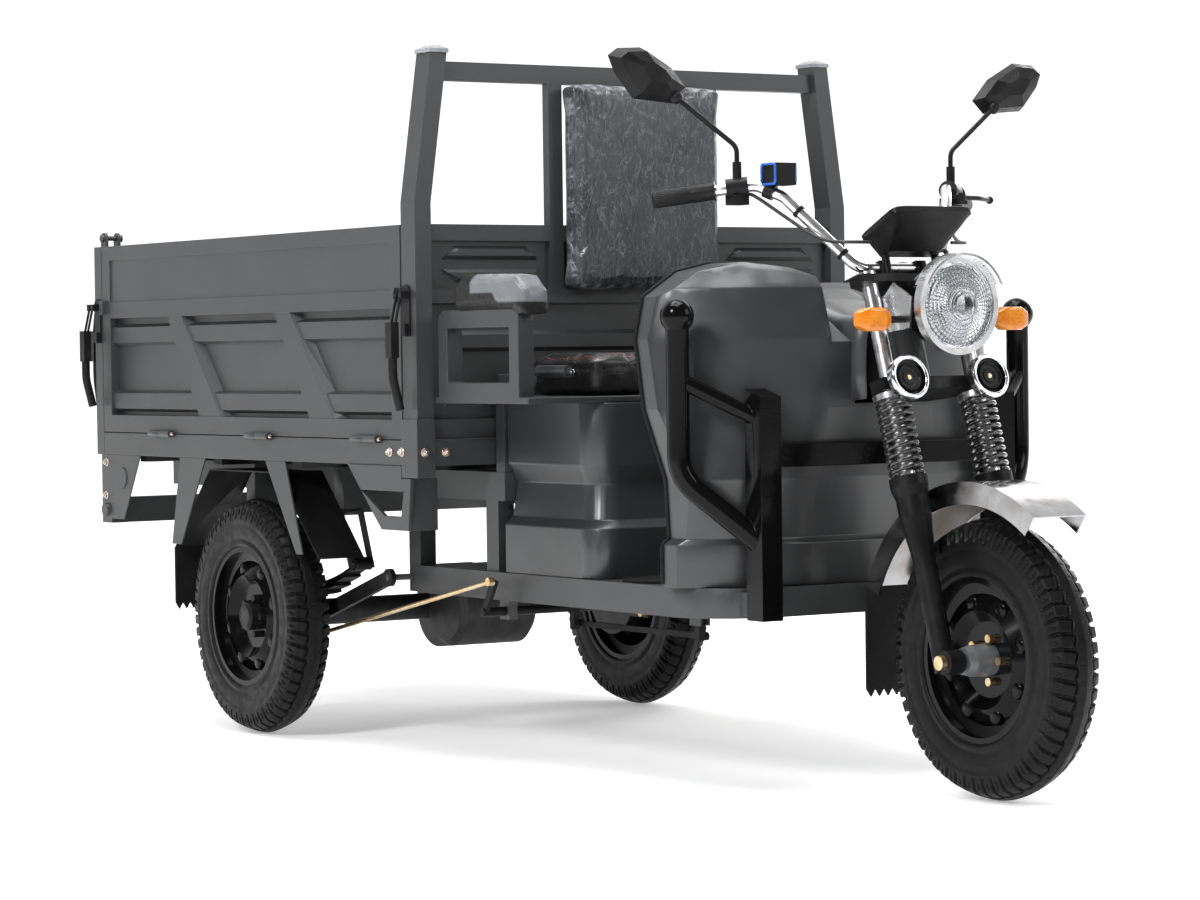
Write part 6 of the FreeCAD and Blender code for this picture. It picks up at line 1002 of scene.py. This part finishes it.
cover = BVHTree.FromObject(cushion, bpy.context.evaluated_depsgraph_get())
low, high = drawn_box("seat_cushion")
SEAM_IN = 0.030
seam_y = np.arange(-312, 313, 12) / 1000
seam_x = np.arange(low[0] + 0.05, high[0] - 0.04, 0.012)
stitch_radii = np.array([0.3, 0.9, 0.9, 0.3]) / 1000
seam = [((high[0] - SEAM_IN, y), (0, 1)) for y in seam_y]
seam += [((x, side * (high[1] - SEAM_IN)), (1, 0)) for side in (-1, 1) for x in seam_x]
stitches = []
for (x, y), way in seam:
    ends = [cover.ray_cast(Vector((x + t * way[0], y + t * way[1], high[2] + 0.1)), Vector((0, 0, -1)))[0]
            for t in (-0.0035, -0.0025, 0.0025, 0.0035)]
    lifted = np.array(ends) + [0, 0, 0.0004]
    stitches.append(tube_points(lifted, stitch_radii, 6, (0.3, 0.2, 1)))
thread = Finish("orange_red_thread", (0.40, 0.075, 0.035), 0.6)
thread.tint_clouds(300.0, (0.52, 0.12, 0.06))
seam_thread = coat(gather("cushion_stitching", stitches), thread)
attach(seam_thread, "frame")
print("stitches", len(stitches))

# %% [markdown]
# Turned pieces come from one profile of distance along an axis and radius. Six
# columns instead of many give a hexagon, so bolts, nuts, lamp parts and ties all
# use the same function.

# %% Turned pieces
def lathe(profile, foot, axis, columns=40, reference=(0, 0.2, 1)):
    """Rings of (along, radius) pairs in millimetres about an axis through a foot point in the frame."""
    profile = np.asarray(profile, float) / 1000
    axis = np.asarray(axis, float) / np.linalg.norm(axis)
    aside = np.cross(axis, reference)
    aside /= np.linalg.norm(aside)
    above = np.cross(aside, axis)
    angle = np.linspace(0, 2 * math.pi, columns, endpoint=False)
    rim = np.cos(angle)[:, None] * aside + np.sin(angle)[:, None] * above
    return np.asarray(foot) + profile[:, None, :1] * axis + profile[:, None, 1:] * rim[None]


def outward(piece, crease=35):
    """Turn every closed shell's faces outwards, and keep edges sharper than an angle in degrees crisp."""
    shell = bmesh.new()
    shell.from_mesh(piece.data)
    bmesh.ops.recalc_face_normals(shell, faces=shell.faces)
    shell.to_mesh(piece.data)
    shell.free()
    piece.data.set_sharp_from_angle(angle=math.radians(crease))
    return piece


def bolt_head(foot, axis):
    """A washer, a hexagon and the rounded end of a screw, standing on a point."""
    return [lathe([(-1, 10), (1.4, 10), (1.8, 9.6)], foot, axis, 32),
            lathe([(1.6, 7.6), (6.6, 7.6), (7.4, 6.6)], foot, axis, 6),
            lathe([(7.0, 4.2), (9.6, 4.2), (10.6, 3.2)], foot, axis, 20)]


# %% [markdown]
# Plated screws hold the bed's front corners and its rear legs. Their places are
# measured on the right side and repeated on the left. The hinge pins of the side
# boards show a plated end as well.

# %% Bolts
side_screws = [(698, 570, 666), (757, 574, 667), (-727, 570, 618), (-731, 570, 536)]
front_screws = [(822, 555, 666), (818, 501, 666)]
pin_ends = [(-345, 578.5, 693), (159, 578.5, 693), (663, 578.5, 693)]
pin_profile = [(-2, 4.2), (5, 4.2), (6.2, 3.4), (6.8, 1.6)]
corner_bolts = []
for side in (-1, 1):
    sided = lambda places: [at(x, side * y, z) for x, y, z in places]
    corner_bolts += [grid for foot in sided(side_screws) for grid in bolt_head(foot, (0, side, 0))]
    corner_bolts += [grid for foot in sided(front_screws) for grid in bolt_head(foot, (1, 0, 0))]
    corner_bolts += [lathe(pin_profile, foot, (1, 0, 0), 20) for foot in sided(pin_ends)]
bolts = outward(gather("bed_bolts", corner_bolts))
plated = Finish("plated_screw", (0.66, 0.52, 0.43), 0.26, Metallic=1.0)
plated.tint_clouds(150.0, (0.62, 0.58, 0.55)).dull_clouds(90.0, 0.4)
coat(bolts, plated)
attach(bolts, "frame")
print("bolt grids", len(corner_bolts))

# %% [markdown]
# The headlamp keeps its drawn bowl, which is split by face: black outside, a
# silver reflector within, a chrome ring, and a clear visor over it. The lens is
# made anew, as pressed glass: rings and flutes are worked into the front of a
# shallow dome, and the back is smooth.

# %% Headlamp
reflector = Finish("lamp_reflector", (0.80, 0.81, 0.83), 0.16, Metallic=1.0)
reflector.dull_clouds(60.0, 0.26)
clear_visor = Finish("clear_visor", (0.93, 0.94, 0.95), 0.06, Transmission_Weight=0.85, IOR=1.3)
clear_visor.dull_clouds(30.0, 0.12)

LAMP_Z, LENS_X, LENS_RADIUS, LENS_RISE = 958, 1961, 85, 22


def lamp_zone(x, y, z, n):
    """0 satin chrome ring and plates, 1 black bowl, 2 reflector, 3 clear visor."""
    r = np.hypot(y, z - LAMP_Z)
    faces_out = (n[:, 1] * y + n[:, 2] * (z - LAMP_Z)) / np.maximum(r, 1e-6)
    flat_side = (np.abs(y) > 81) & (np.abs(n[:, 1]) > 0.98)
    plate = flat_side | (np.abs(y) > 83) & (x < 1909) & (np.abs(faces_out) < 0.9)
    bowl = (x < 1925.5) & ~plate & ((faces_out > 0.1) | (n[:, 0] < -0.5))
    inside = (x < 1932) & ~plate & ((faces_out < -0.1) | (n[:, 0] > 0.5))
    return np.select([x > 1945.5, inside & (r < 86), bowl & (r < 96)], [3, 2, 1], 0)


zones("headlamp", [gloss_black, reflector, clear_visor], lamp_zone)

radius = np.linspace(0.5, 84.6, 120)[:, None]
turn = np.linspace(0, 2 * math.pi, 192, endpoint=False)[None, :]
sphere = (LENS_RADIUS ** 2 + LENS_RISE ** 2) / (2 * LENS_RISE)
dome = LENS_X - sphere + np.sqrt(sphere ** 2 - radius ** 2)
rings = 1.7 * tooth(radius / 7.7) * step(17, 20, radius) * (1 - step(80, 82, radius))
flutes = 1.3 * np.abs(np.sin(24 * turn)) * step(34, 38, radius) * (1 - step(80, 82, radius))
front = dome - rings - flutes - 0.2
back = np.broadcast_to(dome[::-6] - 4, (len(radius[::-6]), turn.shape[1]))
along = np.concatenate([front, back])
wide = np.concatenate([radius, radius[::-6] * 0.985])
lens_grid = at(along, wide * np.sin(turn), LAMP_Z + wide * np.cos(turn))
glass = coat(outward(gather("headlamp_glass", [lens_grid]), 18), lamp_glass)
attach(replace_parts(glass, "headlamp_lens"), "steering")

shield_profile = [(0, 9.4), (0, 16), (22, 17), (32, 16), (40, 12), (45, 6), (46.5, 1)]
shield = lathe(shield_profile, at(1868, 0, LAMP_Z), (1, 0, 0))
bulb_cap = coat(outward(gather("bulb_cap", [shield])), chrome)
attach(bulb_cap, "steering")
print("lens grid", lens_grid.shape)

# %% [markdown]
# Each horn is a chrome ring round a black diaphragm with two pressed ridges and
# a screw in the middle. The ring is a half-round bead, so that it shades from
# bright to dark as a rolled edge does.

# %% Horns
HORN_OUT, HORN_UP = 100, 22


def horn_zone(x, y, z, n):
    """0 chrome ring, 1 black diaphragm and stem."""
    rel = at(x, y, z) - head
    ahead, up = rel @ steer_ahead * 1000, rel @ steer_axis * 1000
    r = np.hypot(np.abs(y) - HORN_OUT, up - HORN_UP)
    return (ahead > 91) & (r < 36.3) | (ahead < 90.5) & (r < 18)


zones("horns", [gloss_black], horn_zone)
inner_ridge = [(98, 16), (103.5, 15.4), (104.2, 14), (103.6, 12.4), (101, 11), (101, 1)]
outer_ridge = [(102.0, 27.5), (106.3, 27), (106.9, 25.8), (106.3, 24.6), (100.6, 22)]
screw_head = [(100, 5), (103.6, 5), (104.8, 3.6), (104.4, 1)]
turn = np.linspace(0, math.pi, 17)
bead = [(98.5, 45), *zip(104 + 6.5 * np.sin(turn), 40.2 + 4.8 * np.cos(turn)), (98.5, 35.4)]
ridges, screws, beads = [], [], []
for side in (-1, 1):
    foot = on_fork(np.array(0), side * HORN_OUT, HORN_UP)
    ridges += [lathe(profile, foot, steer_ahead) for profile in (inner_ridge, outer_ridge)]
    screws.append(lathe(screw_head, foot, steer_ahead, 24))
    beads.append(lathe(bead, foot, steer_ahead, 72))
chrome_rings = coat(outward(gather("horn_rings", beads), 60), chrome)
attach(chrome_rings, "steering")
diaphragms = coat(outward(gather("horn_diaphragms", ridges), 60), black_plastic)
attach(diaphragms, "steering")
horn_screws = coat(outward(gather("horn_screws", screws)), zinc)
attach(horn_screws, "steering")
print("horn beads", len(beads), "ridges", len(ridges))

# %% [markdown]
# A turn signal is an amber lens on a black foot, as long as a thumb. It is a stack
# of rounded rectangles along a line across the vehicle, small at both ends, which
# gives the six-sided outline with its slanted ends.

# %% Turn signals
SIGNAL_X, SIGNAL_Z = 1890, 932


def signal_body(rows, side, columns=64, power=0.3):
    """Rings x = a bend(cos u), z = b bend(sin u), from rows of distance across, half depth, half height."""
    u = np.linspace(0, 2 * math.pi, columns, endpoint=False)
    y, half_x, half_z = np.array(rows, float).T[:, :, None]
    x, z = half_x * bend(np.cos(u), power), half_z * bend(np.sin(u), power)
    return at(SIGNAL_X + x, side * y + 0 * x, SIGNAL_Z + z)


lens_rows = [(131, 7, 9), (132, 8.6, 11), (134, 10, 13), (151, 17.4, 22.2), (153.5, 18, 23), (189, 18, 23),
             (191.5, 17.4, 22.2), (209, 10, 14), (211, 8.6, 12.4), (212, 7, 10)]
near = np.abs(coordinates(nodes["turn_signals"])[:, 1]).min() * 1000
bodies = [signal_body(lens_rows, side) for side in (-1, 1)]
stalks = [lathe([(near, 7), (132, 7)], at(SIGNAL_X, 0, SIGNAL_Z), (0, side, 0), 32) for side in (-1, 1)]
signals = coat(outward(gather("signal_lamps", bodies + stalks), 24), amber_lens)
coat(signals, black_plastic)
centre = np.empty(len(signals.data.polygons) * 3)
signals.data.polygons.foreach_get("center", centre)
signals.data.polygons.foreach_set("material_index", (np.abs(centre[1::3]) < 0.1312).astype(np.int32))
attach(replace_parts(signals, "turn_signals"), "steering")
print("signal stalks start at", round(near, 1), "mm")

# %% [markdown]
# The dial case is a moulded hood, seen from the front as a stepped, tapering box
# with rounded corners. It is a stack of superellipse rings from the dial face
# down to the bracket, which gives the step under the rim and the tapered body.

# %% Dial case
def hood_ring(centre_x, centre_z, half_x, half_y, tilt, power=0.24, columns=72):
    """A rounded rectangle in the fork's own frame, tilted about Y."""
    u = np.linspace(0, 2 * math.pi, columns, endpoint=False)
    x, y = half_x * bend(np.cos(u), power), half_y * bend(np.sin(u), power)
    return on_fork(centre_x + x * math.cos(tilt), y, centre_z + x * math.sin(tilt))


lean = math.atan2(22, 134)
rings = [(94.6, 341.6, 56, 86, lean), (94.2, 344.4, 57, 87, lean), (94, 345, 65, 97, lean),
         (94.4, 342.6, 67.5, 99.5, lean), (96, 333.0, 67.0, 99, lean), (96.6, 329.5, 61, 93, lean),
         (90, 318, 52, 86, lean * 1.2), (72, 301, 33, 74, lean), (58, 289.5, 19, 66, 0)]
hood = coat(outward(gather("dial_hood", [np.stack([hood_ring(*ring) for ring in rings])]), 28), black_plastic)
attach(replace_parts(hood, "instrument_panel"), "steering")

dial_glass = Finish("dial_glass", (0.004, 0.005, 0.006), 0.06, Coat_Weight=1.0)
dial_glass.tint(dial_glass.fault(cloudy, "Mask", Scale=120.0, Low=0.48, High=0.52), (0.012, 0.016, 0.018))
face_rings = [hood_ring(94.4, 340.8, 55, 85, lean), hood_ring(94.2, 343.0, 54.5, 84.5, lean)]
face = coat(outward(gather("dial_face", [np.stack(face_rings)])), dial_glass)
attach(face, "steering")
print("hood rings", len(rings))

# %% [markdown]
# Rubber trim runs round the open edge of the leg shield, ribbed along its
# length. It is a tube whose radius ripples, on a path through points measured
# along the edge.

# %% Edge trim
def smooth_path(points, count):
    """Points evenly spaced along straight legs, with the corners rounded by averaging neighbours."""
    points = np.asarray(points, float)
    far = np.concatenate([[0], np.cumsum(np.linalg.norm(np.diff(points, axis=0), axis=1))])
    even = np.linspace(0, far[-1], count)
    path = np.stack([np.interp(even, far, points[:, i]) for i in range(3)], -1)
    for _ in range(6):
        path[1:-1] = (path[:-2] + 2 * path[1:-1] + path[2:]) / 4
    return path


edge = np.array([(1500, 405, 412), (1500, 405, 490), (1500, 388, 502), (1500, 395, 620), (1462, 420, 760),
                 (1442, 425, 900), (1441, 411, 965), (1440, 405, 985), (1445, 330, 1035), (1448, 250, 1052),
                 (1446, 165, 1040), (1442, 100, 1012)], float)
trims = []
for side in (-1, 1):
    path = smooth_path(at(edge[:, 0], side * edge[:, 1], edge[:, 2]), 420)
    ripple = (5.2 + 0.5 * np.cos(np.arange(420) * math.pi / 2)) / 1000
    trims.append(tube_points(path, ripple, 10, (1, 0.1, 0.2)))
trim = coat(gather("shield_edge_trim", trims), flap_rubber)
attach(trim, "frame")
print("trim points", len(trim.data.vertices))

# %% [markdown]
# A moulded cowl closes the leg shield round the neck of the frame. It is a stack
# of arched sections from the shield's valley forward to the head, each a
# superellipse cut off at the foot.

# %% Neck cowl
def arch(x, half, foot, crown, power=0.45, columns=48):
    """A section across the vehicle: up one side, over and down the other."""
    u = np.linspace(0, math.pi, columns)
    return at(x, -half * bend(np.cos(u), power), foot + (crown - foot) * np.abs(np.sin(u)) ** power)


sections = [(1520, 112, 800, 1000), (1580, 104, 790, 972), (1640, 88, 775, 952), (1690, 74, 772, 947),
            (1728, 66, 776, 944)]
arches = np.stack([arch(*row) for row in sections])
cowl = mesh_piece("neck_cowl", arches, grid_faces(*arches.shape[:2]))
skin_thick = cowl.modifiers.new("wall", "SOLIDIFY")
skin_thick.thickness, skin_thick.offset = 0.003, 1.0
coat(cowl, panel_plastic)
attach(cowl, "frame")
print("cowl grid", arches.shape[:2])

# %% [markdown]
# A ribbed rubber mat lies on the footboard on each side, with a rolled rim.

# %% Foot mats
FOOTBOARD_Z = 405


def mat_grid(x, y, half_x, half_y):
    """A flat superellipse with ribs along Y, as rings from the underside out and over to the middle."""
    u = np.linspace(0, 2 * math.pi, 96, endpoint=False)
    share = np.array([0.02, 0.97, 1.0, 1.0, 0.97, 0.93, *np.linspace(0.9, 0.02, 40)])[:, None]
    tall = np.array([0.4, 0.4, 1.2, 5.0, 6.4, 5.6, *np.full(40, 4.6)])[:, None]
    px = share * half_x * bend(np.cos(u), 0.6)
    tall = tall + (share < 0.91) * (tall > 1) * 1.1 * np.sin(px / 9 * 2 * math.pi)
    return at(x + px, y + share * half_y * bend(np.sin(u), 0.6), FOOTBOARD_Z + tall)


mat_grids = [mat_grid(1345, side * 265, 80, 110) for side in (-1, 1)]
mats = coat(outward(gather("foot_mats", mat_grids), 60), flap_rubber)
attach(mats, "frame")
print("mat points", len(mats.data.vertices))

# %% [markdown]
# The mirrors get their glass, a thin plate on the rear of each shell with the
# same outline drawn in by a few millimetres.

# %% Mirror glass
silver = Finish("mirror_silver", (0.82, 0.83, 0.84), 0.02, Metallic=1.0)
silver.dull_clouds(18.0, 0.05)
shell_outline = [(-92, 33), (-70, 48), (-16, 51), (52, 14), (93, -31), (64, -58), (-35, -50), (-78, 0)]
outline = np.array(shell_outline) * 0.85
for side, label in ((-1, "right"), (1, "left")):
    plates = np.stack([at(x, side * (456 - outline[:, 0]), 1423 + outline[:, 1]) for x in (1534.8, 1533.4)])
    pane = coat(outward(gather(f"{label}_mirror_glass", [plates], False)), silver)
    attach(pane, f"mirror_{label}")
    print(pane.name, "points", len(pane.data.vertices))

# %% [markdown]
# Small fittings finish the bar and the seat: bands that tie the cables to the
# bar, blue rims on the switch box, and a bright button on the parking lever.

# %% Bar and lever fittings
band = [(-4, 11.2), (-4, 13.4), (4, 13.4), (4, 11.2)]
bands = []
for side in (-1, 1):
    upper, lower = at(1650, side * 205, 1178), at(1757, side * 105, 1034)
    for share in (0.2, 0.8):
        bands.append(lathe(band, upper + share * (lower - upper), lower - upper))
ties = coat(outward(gather("cable_ties", bands)), black_plastic)
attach(ties, "steering")

blue_rim = Finish("blue_switch_rim", (0.012, 0.09, 0.42), 0.3, Coat_Weight=0.3)
blue_rim.tint_clouds(90.0, (0.02, 0.13, 0.5))
corners = np.array([(1618, 1204), (1664, 1204), (1664, 1244), (1618, 1244), (1618, 1204)], float)
frames = []
for y in (-236.5, -186.5):
    path = smooth_path(at(corners[:, 0], y, corners[:, 1]), 81)
    frames.append(tube_points(path, 0.0026, 10, (0, 1, 0)))
rims = coat(outward(gather("switch_box_rims", frames), 60), blue_rim)
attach(rims, "steering")

low, high = drawn_box("parking_brake_lever")
tip = np.array([high[0], (low[1] + high[1]) / 2, high[2] - 0.013])
button_profile = [(-6, 5.5), (2, 5.5), (4, 4.6), (5, 2.5), (5.2, 0.8)]
button = coat(outward(gather("lever_button", [lathe(button_profile, tip, (1, 0, 0.1))])), chrome)
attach(button, "parking_lever")
print("fittings", len(bands) + len(frames) + 1)

# %% [markdown]
# Each grip is a rubber sleeve: a flange, a smooth inner half and a ribbed outer
# half. The sleeve is turned first, then its radius is raised by a wave round the
# bar, r = r0 (1 + a max(0, cos 30u)), which is faded in over the outer half.

# %% Grips
def ribbed_grip(elbow, tip):
    """A turned sleeve from the elbow of the bar to its tip, with ribs along its outer half."""
    rows = np.array([(13, 17.0), (13.4, 20.4), (16.6, 20.4), (17.4, 17.2), (58, 17.4), (61, 16.7), (63, 16.5),
                     (70, 16.5), (130, 16.5), (136, 16.5), (139.5, 16), (141.2, 14)])
    axis = (tip - elbow) / np.linalg.norm(tip - elbow)
    grid = lathe(rows, elbow, axis, 180)
    core = elbow + rows[:, None, :1] / 1000 * axis
    fade = step(62, 66, rows[:, 0]) * (1 - step(132, 139, rows[:, 0]))
    wave = np.maximum(0, np.cos(30 * np.linspace(0, 2 * math.pi, 180, endpoint=False)))
    return core + (grid - core) * (1 + 0.05 * fade[:, None] * wave[None])[..., None]


for side, label, body in ((-1, "right_grip", "throttle"), (1, "left_grip", "steering")):
    elbow, tip = at(1565, side * 295, 1195), at(1475, side * 395, 1178)
    sleeve = coat(outward(gather(label, [ribbed_grip(elbow, tip)]), 50), black_plastic)
    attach(sleeve, body)
    print(label, "points", len(sleeve.data.vertices))

# %% [markdown]
# The pressed wheels have a ring of raised bosses round the disc. Their seats are
# found by rays cast at the drawn disc from the outer side, so each boss stands on
# the steel wherever the dish happens to be.

# %% Wheel bosses
BOSS_COUNT, BOSS_RING, BOSS_WIDE = 8, 0.112, 17


def boss(seat, axis, wide):
    """A low dome with a flat crown on a point of the disc."""
    profile = np.array([(-2, 1.0), (0.8, 1.0), (3.0, 0.92), (4.8, 0.72), (5.6, 0.42), (5.8, 0.05)])
    return lathe(profile * [1, wide], seat, axis, 28)


for node, body, sides in (("front_rim", "front_wheel", (-1, 1)), ("rear_right_rim", "right_wheel", (-1,)),
                          ("rear_left_rim", "left_wheel", (1,))):
    disc = BVHTree.FromObject(nodes[node], bpy.context.evaluated_depsgraph_get())
    place = nodes[node].matrix_world
    low, high = drawn_box(node)
    centre = (low + high) / 2
    bosses = []
    for side in sides:
        for turn in np.arange(BOSS_COUNT) * 2 * math.pi / BOSS_COUNT + 0.3:
            start = centre + [BOSS_RING * math.cos(turn), side * 0.2, BOSS_RING * math.sin(turn)]
            hit = disc.ray_cast(place.inverted() @ Vector(start), Vector((0, -side, 0)))[0]
            if hit is not None:
                bosses.append(boss(np.array(place @ hit), (0, side, 0), BOSS_WIDE))
    ring = coat(outward(gather(f"{node}_bosses", bosses), 70), gloss_black)
    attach(ring, body)
    print(node, "bosses", len(bosses))
